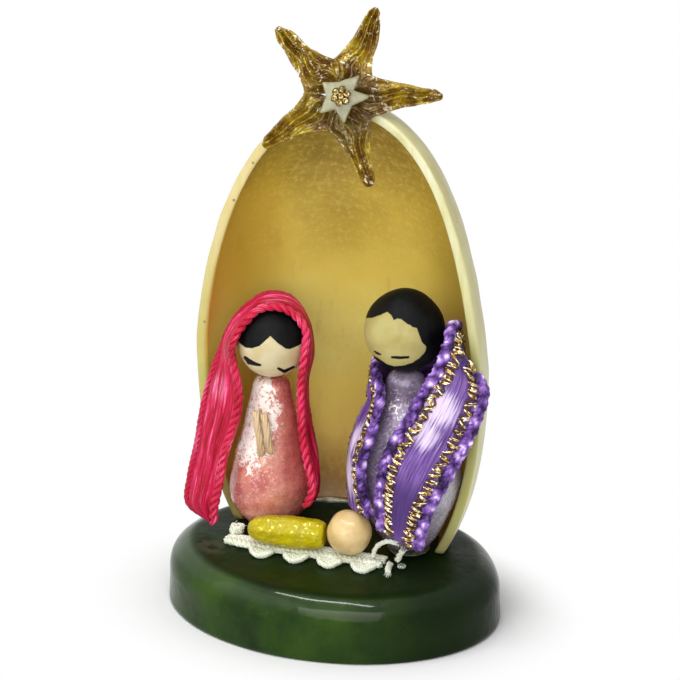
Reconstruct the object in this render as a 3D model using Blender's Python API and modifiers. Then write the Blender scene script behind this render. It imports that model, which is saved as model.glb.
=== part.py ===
# Nutshell nativity scene: half a nutshell standing on an oval clay disc, with two
# glued figures, a child on a strip of lace, and a star of five pods at its tip.
# Lengths below are in millimetres. The shell's mouth faces -Y and the disc stands on z = 0.
import math

import bmesh
import bpy
from mathutils import Matrix, Vector

mm = 0.001

# How far glued pieces stay apart, and how thick a glue pad is
glue_gap = 0.08
pad_thickness = 0.15
pad_inset = 0.04

# Oval clay disc
base_half_width = 7.2
base_half_depth = 5.5
base_thickness = 2.85
base_edge_reach = 1.4
base_edge_drop = 1.35
base_foot_inset = 0.12

# Half nutshell
shell_half_width = 6.45
shell_depth_share = 0.77
shell_wall = 0.48
shell_mid_height = 11.1
shell_rise = 11.8
shell_drop = 11.55
shell_foot_power = 2.3
shell_shoulder_pinch = 0.033
shell_lean = 0.48
shell_x = -0.14
rim_y = 0.85
rim_round = 0.12
foot_glue_radius = 0.14

# Woman
woman_foot_x = -3.25
woman_foot_y = 0.84
woman_head_x = -2.94
woman_head_y = 0.34
woman_head_z = 11.62
woman_head_radius = 1.5
woman_body_radius = 1.8
woman_outline = ((0.955, 0.42), (0.86, 0.5), (0.65, 0.68), (0.45, 0.86), (0.26, 0.99),
                 (0.14, 0.92), (0.05, 0.7), (0.0, 0.47))
hand_radius = 0.165

# Veil: a ribbon with a cord along each edge
veil_thickness = 0.11
veil_cord_radius = 0.19
hood_turn = 22.0
hood_tilt = 25.0
hood_forward = 1.0
veil_bulge = 0.085

# Man
man_foot_x = 3.08
man_foot_y = 0.7
man_head_x = 2.83
man_head_y = 0.84
man_head_z = 12.92
man_head_radius = 1.74
man_body_radius = 2.3
man_body_depth = 1.95
man_turn = 22.0
man_outline = ((0.955, 0.355), (0.86, 0.44), (0.72, 0.72), (0.4, 1.0), (0.184, 0.77),
               (0.05, 0.52), (0.0, 0.38))
head_peak = 0.12

# Shawl: a satin ribbon with a bobbled braid along each edge
shawl_thickness = 0.12
braid_radius = 0.32
braid_waist = 0.68
braid_pitch = 0.56
shawl_bulge = 0.14
stitch_radius = 0.05
stitch_lift = 0.11
braid_seam = 0.07
stitch_length = 0.3

# Child
baby_head_radius = 0.98
baby_head_x = 1.1
baby_head_y = -1.05
baby_body_radius = 0.72
baby_body_length = 3.3
baby_turn = 9.0

# Lace strip and its loose yarn
lace_thickness = 0.12
lace_header_width = 0.95
lace_scallop_reach = 0.6
lace_pitch = 1.5
lace_scallops = 4
lace_tail = 1.1
lace_left_x = -4.4
lace_left_y = -1.4
lace_turn = 3.0
yarn_radius = 0.13

# Star
star_x = 0.14
star_y = 0.35
star_z = 23.39
star_turn = 22.0
star_tilt = 25.0
arm_start = 0.6
arm_spread = 0.58
arm_seam = 0.05
arm_half_width = 0.7
arm_tip_half_width = 0.27
arm_half_thickness = 0.4
arm_angles = (134.0, 67.5, 0.0, -71.0, -148.0)
arm_reaches = (3.92, 4.0, 4.25, 3.95, 3.85)
core_radius = 0.46
core_half_thickness = 0.24
ivory_angles = (48.0, 143.0, 219.0, 277.0, 359.0)
ivory_reaches = (1.24, 0.98, 1.18, 1.2, 1.31)
ivory_waist = 0.62
ivory_thickness = 0.34
bead_radius = 0.17
bead_ring = 0.27

# Heights that follow from the sizes above
pad_bottom = base_thickness + glue_gap
figure_foot = pad_bottom + pad_thickness + glue_gap
lace_bottom = base_thickness + glue_gap
lace_top = lace_bottom + lace_thickness
baby_rest = lace_top + glue_gap

for old in list(bpy.data.objects):
    bpy.data.objects.remove(old, do_unlink=True)

parts = bpy.data.collections.new("nutshell_nativity_scene")
cutters = bpy.data.collections.new("cutters")
bpy.context.scene.collection.children.link(parts)
bpy.context.scene.collection.children.link(cutters)


def linear(value):
    share = value / 255.0
    if share <= 0.04045:
        return share / 12.92
    return ((share + 0.055) / 1.055) ** 2.4


def material(name, red, green, blue, roughness, metallic=0.0):
    made = bpy.data.materials.new(name)
    made.use_nodes = True
    shader = made.node_tree.nodes["Principled BSDF"]
    shader.inputs["Base Color"].default_value = (linear(red), linear(green), linear(blue), 1.0)
    shader.inputs["Roughness"].default_value = roughness
    shader.inputs["Metallic"].default_value = metallic
    return made


green_clay = material("green_clay", 46, 62, 34, 0.25)
nutshell = material("nutshell", 214, 186, 92, 0.5)
dry_glue = material("dry_glue", 214, 210, 196, 0.3)
gold_pod = material("gold_pod", 140, 112, 30, 0.4, 0.6)
ivory = material("ivory", 206, 198, 180, 0.55)
gold_bead = material("gold_bead", 120, 92, 24, 0.35, 0.7)
cream_bead = material("cream_bead", 240, 226, 172, 0.4)
tan_bead = material("tan_bead", 210, 194, 138, 0.4)
peach_bead = material("peach_bead", 250, 225, 160, 0.4)
pink_pearl = material("pink_pearl", 196, 128, 112, 0.35)
mauve_pearl = material("mauve_pearl", 138, 128, 136, 0.35)
green_glitter = material("green_glitter", 196, 184, 20, 0.45)
pink_ribbon = material("pink_ribbon", 208, 70, 100, 0.4)
pink_cord = material("pink_cord", 222, 78, 118, 0.45)
purple_satin = material("purple_satin", 150, 108, 168, 0.35)
purple_thread = material("purple_thread", 118, 84, 146, 0.6)
gold_thread = material("gold_thread", 176, 132, 60, 0.35, 0.8)
tan_thread = material("tan_thread", 225, 198, 154, 0.7)
white_cotton = material("white_cotton", 222, 226, 200, 0.8)


def add(name, data, paint):
    made = bpy.data.objects.new(name, data)
    data.materials.append(paint)
    parts.objects.link(made)
    return made


def guide_at(guides, share):
    # The point at a share of the way along the curve through the guide points
    last = len(guides) - 1
    place = last * min(max(share, 0.0), 1.0)
    span = min(int(place), last - 1)
    part = place - span
    before = guides[max(span - 1, 0)]
    start = guides[span]
    end = guides[span + 1]
    after = guides[min(span + 2, last)]
    return 0.5 * (2.0 * start + (end - before) * part
                  + (2.0 * before - 5.0 * start + 4.0 * end - after) * part ** 2
                  + (3.0 * start - before - 3.0 * end + after) * part ** 3)


def smooth_path(guides, count):
    # Points on the curve through the guide points, shared evenly from guide to guide
    return [guide_at(guides, index / (count - 1)) for index in range(count)]


def even_path(guides, count):
    # The same curve with its points at equal distances
    dense = smooth_path(guides, 24 * len(guides))
    runs = [0.0]
    for index in range(1, len(dense)):
        runs.append(runs[-1] + (dense[index] - dense[index - 1]).length)
    path = []
    at = 0
    for index in range(count):
        goal = runs[-1] * index / (count - 1)
        while at < len(dense) - 2 and runs[at + 1] < goal:
            at += 1
        share = (goal - runs[at]) / (runs[at + 1] - runs[at])
        path.append(dense[at].lerp(dense[at + 1], min(max(share, 0.0), 1.0)))
    return path


def path_length(guides):
    dense = smooth_path(guides, 24 * len(guides))
    return sum((dense[index] - dense[index - 1]).length for index in range(1, len(dense)))


def tube(name, paint, path, radius, resolution=1, swell=None):
    # A round thread along the path; swell gives each point's share of the radius
    curve = bpy.data.curves.new(name, "CURVE")
    curve.dimensions = "3D"
    curve.bevel_depth = radius * mm
    curve.bevel_resolution = resolution
    curve.use_fill_caps = True
    curve.render_resolution_u = 0
    spline = curve.splines.new("POLY")
    spline.points.add(len(path) - 1)
    for index, place in enumerate(path):
        spline.points[index].co = (place.x * mm, place.y * mm, place.z * mm, 1.0)
        if swell:
            spline.points[index].radius = swell[index]
    spline.use_smooth = True
    return add(name, curve, paint)


def shaped_ball(name, paint, segments, rings, shape):
    # A ball whose every surface point is moved by the given rule
    mesh = bpy.data.meshes.new(name)
    work = bmesh.new()
    bmesh.ops.create_uvsphere(work, u_segments=segments, v_segments=rings, radius=1.0)
    for vertex in work.verts:
        vertex.co = shape(vertex.co.copy()) * mm
    work.to_mesh(mesh)
    work.free()
    mesh.shade_smooth()
    return add(name, mesh, paint)


def turned(name, paint, profile, steps):
    # A profile of (radius, height) pairs, from the top down, turned about Z
    mesh = bpy.data.meshes.new(name)
    corners = [(radius * mm, 0.0, height * mm) for radius, height in profile]
    links = [(index, index + 1) for index in range(len(corners) - 1)]
    mesh.from_pydata(corners, links, [])
    made = add(name, mesh, paint)
    screw = made.modifiers.new("turn", "SCREW")
    screw.steps = steps
    screw.render_steps = steps
    screw.use_merge_vertices = True
    screw.merge_threshold = 0.0000001
    screw.use_smooth_shade = True
    return made


def lean_turn(foot, top):
    # The slight tilt that carries the upright onto the line from foot to top
    return Vector((0.0, 0.0, 1.0)).rotation_difference(top - foot).to_matrix().to_4x4()


def lean(made, foot, top):
    # Stand a turned piece on its foot with its axis through the given top
    made.matrix_world = Matrix.Translation(foot * mm) @ lean_turn(foot, top)


def facing(turn, tilt):
    # Right, up and outward directions of a plane that looks forward, turned and tilted up
    side = math.radians(turn)
    rise = math.radians(tilt)
    right = Vector((math.cos(side), math.sin(side), 0.0))
    out = Vector((math.sin(side) * math.cos(rise), -math.cos(side) * math.cos(rise),
                  math.sin(rise)))
    return right, out.cross(right), out


def strip_point(strip, along, across):
    # A point of a cloth strip and the way its face looks there
    inner, outer, inset, bulge = strip
    near = guide_at(inner, along)
    far = guide_at(outer, along)
    near_run = (guide_at(inner, along + 0.01) - guide_at(inner, along - 0.01)).normalized()
    far_run = (guide_at(outer, along + 0.01) - guide_at(outer, along - 0.01)).normalized()
    step = (far - near).normalized()
    start = near + step * inset / step.cross(near_run).length
    end = far - step * inset / step.cross(far_run).length
    face = (near_run + far_run).cross(step).normalized()
    swell = bulge * (end - start).length * math.sin(math.pi * min(max(across, 0.0), 1.0))
    return start.lerp(end, across) + face * swell, face, (end - start).length


def ribbon(name, paint, strip, thickness, rows, columns):
    # A thin strip of cloth between its two edge lines
    mesh = bpy.data.meshes.new(name)
    work = bmesh.new()
    bmesh.ops.create_grid(work, x_segments=columns, y_segments=rows, size=1.0)
    for vertex in work.verts:
        across = (vertex.co.x + 1.0) * 0.5
        along = (vertex.co.y + 1.0) * 0.5
        vertex.co = strip_point(strip, along, across)[0] * mm
    work.to_mesh(mesh)
    work.free()
    mesh.shade_smooth()
    made = add(name, mesh, paint)
    solid = made.modifiers.new("cloth", "SOLIDIFY")
    solid.thickness = thickness * mm
    solid.offset = 0.0
    return made


# Oval disc: a rounded top edge, a straight side and a slightly drawn-in foot
edge_steps = 7
base_profile = [(0.0, base_thickness)]
for step in range(edge_steps + 1):
    turn = math.pi / 2.0 * step / edge_steps
    base_profile.append((base_half_width - base_edge_reach + base_edge_reach * math.sin(turn),
                         base_thickness - base_edge_drop + base_edge_drop * math.cos(turn)))
base_profile.append((base_half_width, base_foot_inset * 2.0))
base_profile.append((base_half_width - base_foot_inset, 0.0))
base_profile.append((0.0, 0.0))
base_disc = turned("base_disc", green_clay, base_profile, 44)
base_disc.scale = (1.0, base_half_depth / base_half_width, 1.0)


# Half nutshell: half an egg with its back to +Y, walled inward, cut flat at the foot
def shell_half_width_at(share):
    if share >= 0.0:
        pinch = 1.0 - shell_shoulder_pinch * math.sin(math.pi * share)
        return shell_half_width * math.sqrt(max(1.0 - share * share, 0.0)) * pinch
    return shell_half_width * math.sqrt(max(1.0 - abs(share) ** shell_foot_power, 0.0))


def shell_point(way):
    share = way.z
    around = math.hypot(way.x, way.y)
    half = shell_half_width_at(share)
    side = way.x / around if around > 0.000001 else 0.0
    back = way.y / around if around > 0.000001 else 0.0
    lean_x = shell_lean * max(share, 0.0) ** 2
    height = shell_mid_height + share * (shell_rise if share >= 0.0 else shell_drop)
    return Vector((shell_x + half * side + lean_x, rim_y + half * shell_depth_share * back, height))


shell_mesh = bpy.data.meshes.new("nutshell_half")
work = bmesh.new()
bmesh.ops.create_uvsphere(work, u_segments=48, v_segments=20, radius=1.0)
for vertex in work.verts:
    vertex.co = Vector((vertex.co.x, vertex.co.z, -vertex.co.y))
bmesh.ops.bisect_plane(work, geom=work.verts[:] + work.edges[:] + work.faces[:], dist=0.00001,
                       plane_co=(0.0, 0.0, 0.0), plane_no=(0.0, -1.0, 0.0), clear_outer=True)
for vertex in work.verts:
    vertex.co = shell_point(vertex.co.copy()) * mm
work.to_mesh(shell_mesh)
work.free()
shell_mesh.shade_smooth()
nutshell_half = add("nutshell_half", shell_mesh, nutshell)
wall = nutshell_half.modifiers.new("wall", "SOLIDIFY")
wall.thickness = shell_wall * mm
wall.offset = -1.0
rounding = nutshell_half.modifiers.new("rim", "BEVEL")
rounding.width = rim_round * mm
rounding.segments = 2
rounding.limit_method = "ANGLE"
rounding.angle_limit = math.radians(50.0)

foot_cut = base_thickness + glue_gap
cut_mesh = bpy.data.meshes.new("foot_cutter")
work = bmesh.new()
bmesh.ops.create_cube(work, size=1.0)
for vertex in work.verts:
    vertex.co.x *= shell_half_width * 3.0 * mm
    vertex.co.y *= shell_half_width * 3.0 * mm
    vertex.co.z = (vertex.co.z * 2.0 * base_half_width + foot_cut - base_half_width) * mm
work.to_mesh(cut_mesh)
work.free()
foot_cutter = bpy.data.objects.new("foot_cutter", cut_mesh)
cutters.objects.link(foot_cutter)
foot_cutter.hide_render = True
foot_cutter.display_type = "WIRE"
cut = nutshell_half.modifiers.new("foot", "BOOLEAN")
cut.object = foot_cutter
cut.operation = "DIFFERENCE"

# Glue bead along the inner foot of the shell, behind the figures
foot_share = (foot_cut + foot_glue_radius - shell_mid_height) / shell_drop
foot_reach = shell_wall + glue_gap + foot_glue_radius
foot_half = shell_half_width_at(foot_share)
bead = []
for step in range(21):
    turn = math.radians(28.0 + 124.0 * step / 20)
    bead.append(Vector((shell_x + (foot_half - foot_reach - 0.06) * math.cos(turn),
                        rim_y + (foot_half * shell_depth_share - foot_reach - 0.06)
                        * math.sin(turn), foot_cut + foot_glue_radius)))
bead_swell = [0.8 + 0.2 * math.cos(2.3 * index) for index in range(len(bead))]
tube("shell_foot_glue", dry_glue, bead, foot_glue_radius, 1, bead_swell)


# Pear-shaped bodies, heads and their glue pads
def body_profile(height, widest, outline):
    # The outline gives shares of the height and of the widest radius, from the neck down
    guides = [Vector((0.0, height, 0.0)),
              Vector((widest * outline[0][1] * 0.6, height - 0.03, 0.0))]
    for level, width in outline:
        guides.append(Vector((widest * width, height * level, 0.0)))
    line = smooth_path(guides, 18)
    profile = [(max(place.x, 0.0), place.y) for place in line]
    profile[0] = (0.0, height)
    profile.append((0.0, 0.0))
    return profile


woman_head = Vector((woman_head_x, woman_head_y, woman_head_z))
woman_foot = Vector((woman_foot_x, woman_foot_y, figure_foot))
woman_top = woman_head - (woman_head - woman_foot).normalized() * (woman_head_radius + glue_gap)
woman_height = (woman_top - woman_foot).length
woman_foot_radius = woman_body_radius * woman_outline[-1][1]
woman_body = turned("woman_body", pink_pearl,
                    body_profile(woman_height, woman_body_radius, woman_outline), 26)
lean(woman_body, woman_foot, woman_top)

man_head = Vector((man_head_x, man_head_y, man_head_z))
man_foot = Vector((man_foot_x, man_foot_y, figure_foot))
man_top = man_head - (man_head - man_foot).normalized() * (man_head_radius + glue_gap)
man_height = (man_top - man_foot).length
man_foot_radius = man_body_radius * man_outline[-1][1]
man_body = turned("man_body", mauve_pearl,
                  body_profile(man_height, man_body_radius, man_outline), 28)
lean(man_body, man_foot, man_top)

# The man's body is pressed flatter from front to back, its broad side turned with the star
man_level = Matrix.Rotation(math.radians(man_turn), 4, "Z")
man_press = Matrix.Diagonal((1.0, man_body_depth / man_body_radius, 1.0, 1.0))
man_body.matrix_world = (Matrix.Translation(man_foot * mm) @ lean_turn(man_foot, man_top)
                         @ man_level @ man_press)


def head_ball(name, paint, centre, radius, peak, segments, rings):
    # A bead with a slight peak on top, where it was picked up while wet
    def shape(way):
        grow = radius + peak * max(way.z, 0.0) ** 12
        return way * grow
    made = shaped_ball(name, paint, segments, rings, shape)
    made.location = centre * mm
    return made


head_ball("woman_head", cream_bead, woman_head, woman_head_radius, 0.0, 24, 14)
head_ball("man_head", tan_bead, man_head, man_head_radius, head_peak, 24, 16)


def glue_pad(name, foot, radius):
    # A squeezed-out disc of glue under a foot
    half = pad_thickness * 0.5
    profile = [(0.0, pad_thickness)]
    for step in range(5):
        turn = math.pi * step / 4
        profile.append((radius + half * math.sin(turn), half + half * math.cos(turn)))
    profile.append((0.0, 0.0))
    made = turned(name, dry_glue, profile, 20)
    made.location = Vector((foot.x, foot.y, pad_bottom)) * mm
    return made


glue_pad("woman_glue_pad", woman_foot, woman_foot_radius - pad_inset)
glue_pad("man_glue_pad", man_foot, man_foot_radius - pad_inset)

# Veil over the woman's head: its front cord rings the face, its back cord lies behind
hood_right, hood_up, hood_out = facing(hood_turn, hood_tilt)
hood_rest = woman_head_radius + glue_gap + veil_cord_radius
hood_ring = math.sqrt(hood_rest ** 2 - hood_forward ** 2)


def hood(angle):
    turn = math.radians(angle)
    return (woman_head + hood_out * hood_forward
            + (hood_right * math.cos(turn) + hood_up * math.sin(turn)) * hood_ring)


veil_front = [Vector((-5.15, -0.75, 3.3)), Vector((-5.1, -0.86, 4.1)), Vector((-4.85, -0.92, 5.2)),
              Vector((-4.6, -0.93, 6.7)), Vector((-4.05, -0.84, 8.6)), Vector((-4.1, -0.68, 9.9)),
              Vector((-4.3, -0.72, 10.9)), Vector((-4.24, -0.98, 11.7)), hood(158.0), hood(110.0), hood(65.0), hood(20.0),
              hood(-25.0), Vector((-1.4, -0.3, 10.1)), Vector((-1.23, -0.6, 8.4)),
              Vector((-0.9, -0.92, 7.2)), Vector((-0.55, -1.1, 5.9)), Vector((-0.85, -1.1, 5.0))]
veil_back = [Vector((-5.6, -0.35, 3.3)), Vector((-6.48, -0.35, 3.85)), Vector((-6.4, -0.34, 5.1)),
             Vector((-6.1, -0.25, 6.7)), Vector((-5.88, 0.0, 8.5)), Vector((-5.62, 0.45, 9.9)),
             Vector((-5.38, 1.1, 11.0)), Vector((-5.15, 1.45, 11.7)), Vector((-4.7, 1.8, 12.3)), Vector((-3.9, 2.2, 12.85)),
             Vector((-2.9, 2.4, 12.7)), Vector((-2.15, 2.2, 11.85)), Vector((-1.84, 1.75, 10.8)),
             Vector((-2.0, 1.58, 9.6)), Vector((-1.67, 1.23, 7.9)), Vector((-1.3, 1.0, 6.6)),
             Vector((-1.19, 0.88, 5.6)), Vector((-1.17, 0.86, 4.9))]
veil_strip = (veil_front, veil_back, veil_cord_radius + glue_gap, veil_bulge)
ribbon("veil_ribbon", pink_ribbon, veil_strip, veil_thickness, 50, 5)
tube("veil_front_cord", pink_cord, even_path(veil_front, 60), veil_cord_radius)
tube("veil_back_cord", pink_cord, even_path(veil_back, 60), veil_cord_radius)

# The woman's hands: two frayed thread ends that hang side by side down her front
def before_woman(x, stand_off, height):
    return Vector((x, woman_foot.y - woman_body_radius - stand_off, height))


tube("woman_hand_left", tan_thread,
     smooth_path([before_woman(-3.26, -0.27, 8.8), before_woman(-3.12, -0.12, 8.1),
                  before_woman(-3.0, -0.01, 7.5), before_woman(-2.9, 0.07, 6.95)], 10), hand_radius)
tube("woman_hand_right", tan_thread,
     smooth_path([before_woman(-2.88, -0.23, 8.75), before_woman(-2.74, -0.15, 8.1),
                  before_woman(-2.62, -0.09, 7.55), before_woman(-2.48, -0.07, 7.1)], 10), hand_radius)


# Shawl round the man's neck: up his left side, behind the neck, over the shoulder, down front
def beside_man(angle, stand_off, height):
    share = (height - man_foot.z) / (man_top.z - man_foot.z)
    axis = man_foot.lerp(man_top, share)
    turn = math.radians(angle)
    across = turn - math.radians(man_turn)
    radius = stand_off + man_body_radius * man_body_depth / math.hypot(
        man_body_depth * math.cos(across), man_body_radius * math.sin(across))
    return Vector((axis.x + radius * math.cos(turn), axis.y + radius * math.sin(turn), height))


man_front = math.hypot(man_body_radius * math.sin(math.radians(man_turn)),
                       man_body_depth * math.cos(math.radians(man_turn)))


def before_man(x, stand_off, height):
    return Vector((x, man_foot.y - man_front - stand_off, height))


shawl_inner = [beside_man(-108.0, 0.42, 5.35), beside_man(-115.0, 0.45, 6.3),
               beside_man(-117.0, 0.4, 7.6), beside_man(-112.0, 0.05, 8.8),
               beside_man(-112.0, -0.42, 9.9), Vector((2.2, -0.35, 10.55)),
               Vector((1.75, 0.25, 10.95)), Vector((1.42, 1.3, 11.1)), Vector((1.7, 2.15, 11.25)),
               Vector((2.7, 2.85, 11.7)), Vector((4.1, 2.65, 12.4)), Vector((4.88, 1.6, 13.1)),
               Vector((5.02, 0.75, 13.5)), Vector((5.15, 0.1, 13.45)),
               Vector((5.2, -0.3, 13.05)), before_man(4.95, -0.63, 12.1),
               before_man(4.45, -0.23, 11.1), before_man(3.9, 0.12, 9.9),
               before_man(3.26, 0.34, 8.7), before_man(2.95, 0.47, 7.7),
               before_man(2.85, 0.54, 6.9), before_man(2.83, 0.6, 6.1),
               before_man(2.93, 0.64, 5.0)]
shawl_outer = [beside_man(175.0, 0.42, 4.8), beside_man(171.0, 0.47, 6.5),
               beside_man(166.0, 0.42, 7.5), beside_man(160.0, 0.17, 8.5),
               beside_man(152.0, -0.1, 9.2), Vector((1.05, 1.6, 9.42)), Vector((1.1, 1.9, 9.55)),
               Vector((1.25, 2.3, 9.6)), Vector((1.75, 2.9, 9.65)), Vector((2.75, 3.35, 9.8)),
               Vector((4.2, 2.9, 10.3)), Vector((4.95, 1.6, 11.0)),
               Vector((5.3, 0.65, 11.35)), Vector((5.75, 0.1, 11.5)),
               Vector((6.4, -0.05, 11.75)), Vector((6.8, -0.25, 11.2)),
               before_man(6.65, -0.6, 10.15), before_man(6.3, -0.22, 9.1),
               before_man(5.85, 0.1, 8.1), before_man(5.4, 0.37, 7.1),
               before_man(4.95, 0.55, 6.1), before_man(4.7, 0.6, 5.2),
               before_man(4.5, 0.64, 4.35)]
shawl_strip = (shawl_inner, shawl_outer, braid_radius + glue_gap + braid_seam, shawl_bulge)
ribbon("shawl_ribbon", purple_satin, shawl_strip, shawl_thickness, 60, 5)


def braid(name, guides):
    # A thread braid whose bobbles follow each other at the pitch
    bobbles = int(path_length(guides) / braid_pitch)
    path = even_path(guides, 2 * bobbles + 1)
    swell = [1.0 if index % 2 else braid_waist for index in range(len(path))]
    return tube(name, purple_thread, path, braid_radius, 1, swell)


braid("shawl_inner_braid", shawl_inner)
braid("shawl_outer_braid", shawl_outer)


def stitches(name, far_side):
    # Gold bars over the satin beside a braid, carried from bar to bar by one thread
    bars = int(path_length(shawl_inner) / braid_pitch / 2.0)
    path = []
    for index in range(2 * bars):
        along = (index + 0.5) / (2 * bars)
        wide = strip_point(shawl_strip, along, 0.0)[2]
        starts = stitch_radius / wide
        ends = min(starts + stitch_length / wide, 0.34)
        for reach in (starts, ends) if index % 2 else (ends, starts):
            across = 1.0 - reach if far_side else reach
            place, face, width = strip_point(shawl_strip, along, across)
            path.append(place + face * (shawl_thickness * 0.5 + stitch_lift + stitch_radius))
    return tube(name, gold_thread, path, stitch_radius, 0)


stitches("shawl_inner_stitches", False)
stitches("shawl_outer_stitches", True)

# Child: a round head beside a loaf-shaped body, both on the lace
baby_way = math.radians(baby_turn)
baby_head_place = Vector((baby_head_x, baby_head_y, baby_rest + baby_head_radius))
baby_step = baby_head_radius + glue_gap + baby_body_length * 0.5
baby_place = Vector((baby_head_x - baby_step * math.cos(baby_way),
                     baby_head_y - baby_step * math.sin(baby_way),
                     baby_rest + baby_body_radius))


def loaf(way):
    # Round at the left end, nearly flat at the head's end, with shallow lengthwise ridges
    blunt = 0.16 if way.z > 0.0 else 0.5
    around = math.hypot(way.x, way.y)
    spread = around ** blunt if around > 0.000001 else 0.0
    turn = math.atan2(way.y, way.x)
    ridge = 1.0 - 0.035 * (1.0 - math.cos(7.0 * turn))
    taper = 1.0 - 0.08 * max(-way.z, 0.0)
    reach = baby_body_radius * spread * ridge * taper
    return Vector((baby_body_length * 0.5 * way.z, reach * math.cos(turn), reach * math.sin(turn)))


def bumpy(way):
    swell = 1.0 - 0.02 * (1.0 - math.cos(5.0 * way.x + 3.0 * way.z))
    return way * baby_head_radius * swell


baby_body = shaped_ball("baby_body", green_glitter, 28, 14, loaf)
baby_body.location = baby_place * mm
baby_body.rotation_euler = (0.0, 0.0, baby_way)
baby_head = shaped_ball("baby_head", peach_bead, 22, 14, bumpy)
baby_head.location = baby_head_place * mm

# Lace strip under the child: a header band with a row of open scallops along its front
def lace_outline():
    half = lace_header_width * 0.5
    length = lace_tail + lace_pitch * lace_scallops
    line = [(0.0, -half * 0.6)]
    for index in range(lace_scallops):
        for step in range(8):
            share = step / 8
            drop = lace_scallop_reach * math.sin(math.pi * share) ** 0.7
            line.append((lace_tail + lace_pitch * (index + share), -half - 0.14 - drop))
    line.append((length, -half - 0.14))
    for index in range(13):
        line.append((length * (1.0 - index / 12), half + 0.04 * math.sin(2.0 * index)))
    return line


def lace_hole(index):
    middle = lace_tail + lace_pitch * (index + 0.5)
    line = []
    for step in range(10):
        turn = -2.0 * math.pi * step / 10
        line.append((middle + lace_pitch * 0.27 * math.cos(turn),
                     -lace_header_width * 0.5 - 0.2
                     + lace_scallop_reach * 0.36 * math.sin(turn)))
    return line


lace_curve = bpy.data.curves.new("lace_edging", "CURVE")
lace_curve.dimensions = "2D"
lace_curve.fill_mode = "BOTH"
lace_curve.extrude = lace_thickness * 0.5 * mm
lace_curve.render_resolution_u = 0
for loop in [lace_outline()] + [lace_hole(index) for index in range(lace_scallops)]:
    spline = lace_curve.splines.new("POLY")
    spline.points.add(len(loop) - 1)
    for index, (along, wide) in enumerate(loop):
        spline.points[index].co = (along * mm, wide * mm, 0.0, 1.0)
    spline.use_cyclic_u = True
lace_edging = add("lace_edging", lace_curve, white_cotton)
lace_edging.location = Vector((lace_left_x, lace_left_y,
                               lace_bottom + lace_thickness * 0.5)) * mm
lace_edging.rotation_euler = (0.0, 0.0, math.radians(lace_turn))

# Loose yarn beyond the lace: two cut ends on the disc and one arched curl
yarn_rest = base_thickness + glue_gap + yarn_radius
lace_length = lace_tail + lace_pitch * lace_scallops
lace_end_x = lace_left_x + lace_length * math.cos(math.radians(lace_turn))
lace_end_y = lace_left_y + lace_length * math.sin(math.radians(lace_turn))


def past_lace(x, y, height):
    # A point beside the right end of the lace
    return Vector((lace_end_x + x, lace_end_y + y, height))


tube("yarn_end_front", white_cotton,
     [past_lace(0.31, -0.19, yarn_rest), past_lace(0.39, -0.57, yarn_rest),
      past_lace(0.57, -1.07, yarn_rest)], yarn_radius, 2)
tube("yarn_end_back", white_cotton,
     [past_lace(0.71, 0.23, yarn_rest + 0.5), past_lace(0.59, 0.18, yarn_rest + 0.25),
      past_lace(0.49, 0.15, yarn_rest + 0.02)], yarn_radius, 2)
tube("yarn_curl", white_cotton,
     smooth_path([past_lace(-0.49, -0.17, lace_top + glue_gap + yarn_radius),
                  past_lace(-0.24, -0.29, yarn_rest + 0.75),
                  past_lace(0.23, -0.35, yarn_rest + 1.1),
                  past_lace(0.66, -0.29, yarn_rest + 1.05)], 10), yarn_radius * 0.75)

drop_radius = 0.2
drop_half_height = 0.11


def drop_shape(way):
    return Vector((drop_radius * way.x, drop_radius * way.y, drop_half_height * way.z))


glue_drop = shaped_ball("clear_glue_drop", dry_glue, 14, 8, drop_shape)
glue_drop.location = past_lace(0.83, -0.17, base_thickness + glue_gap + drop_half_height) * mm

# Star: five folded pods round a core, an ivory star over their roots, beads in its middle
star_frame = bpy.data.objects.new("star_frame", None)
star_frame.location = Vector((star_x, star_y, star_z)) * mm
star_frame.rotation_euler = (math.radians(90.0 - star_tilt), 0.0, math.radians(star_turn))
parts.objects.link(star_frame)


def pod_half_width(along, reach):
    # Wide at the root, as far as the next pod allows, then drawn in to a blunt tip
    root = along * arm_spread - arm_seam
    share = min(max((along - 1.4) / (reach - 1.4), 0.0), 1.0)
    return min(root, arm_half_width + (arm_tip_half_width - arm_half_width) * share ** 0.85)


def pod_shape(number):
    reach = arm_reaches[number]

    def shape(way):
        share = (way.z + 1.0) * 0.5
        around = math.hypot(way.x, way.y)
        side = way.x / around if around > 0.000001 else 0.0
        front = way.y / around if around > 0.000001 else 0.0
        along = arm_start + (reach - arm_start) * share
        full = min(around * 1.5, 1.0) ** 0.6
        free = min(max(share - 0.3, 0.0) * 4.0, 1.0)
        wide = pod_half_width(along, reach) * full
        crease = 1.0 + 0.07 * free * math.sin(9.0 * share + 1.7 * number)
        thick = arm_half_thickness * (1.0 - 0.35 * share) * full
        out = thick * front
        if front > 0.0:
            out -= thick * front * (1.0 - side * side) * (1.2 - 1.2 * share ** 3)
            out += 0.1 * full * free * abs(side) * front * math.sin(11.0 * share + number)
        bow = 0.05 * free * math.sin(5.0 * share + 2.1 * number)
        return Vector((along, wide * side * crease + bow, out))
    return shape


for number, angle in enumerate(arm_angles):
    pod = shaped_ball("star_arm_" + str(number + 1), gold_pod, 18, 11, pod_shape(number))
    pod.parent = star_frame
    pod.rotation_euler = (0.0, 0.0, math.radians(angle))


def core_shape(way):
    return Vector((core_radius * way.x, core_radius * way.y, core_half_thickness * way.z))


star_core = shaped_ball("star_core", gold_pod, 16, 8, core_shape)
star_core.parent = star_frame

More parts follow.
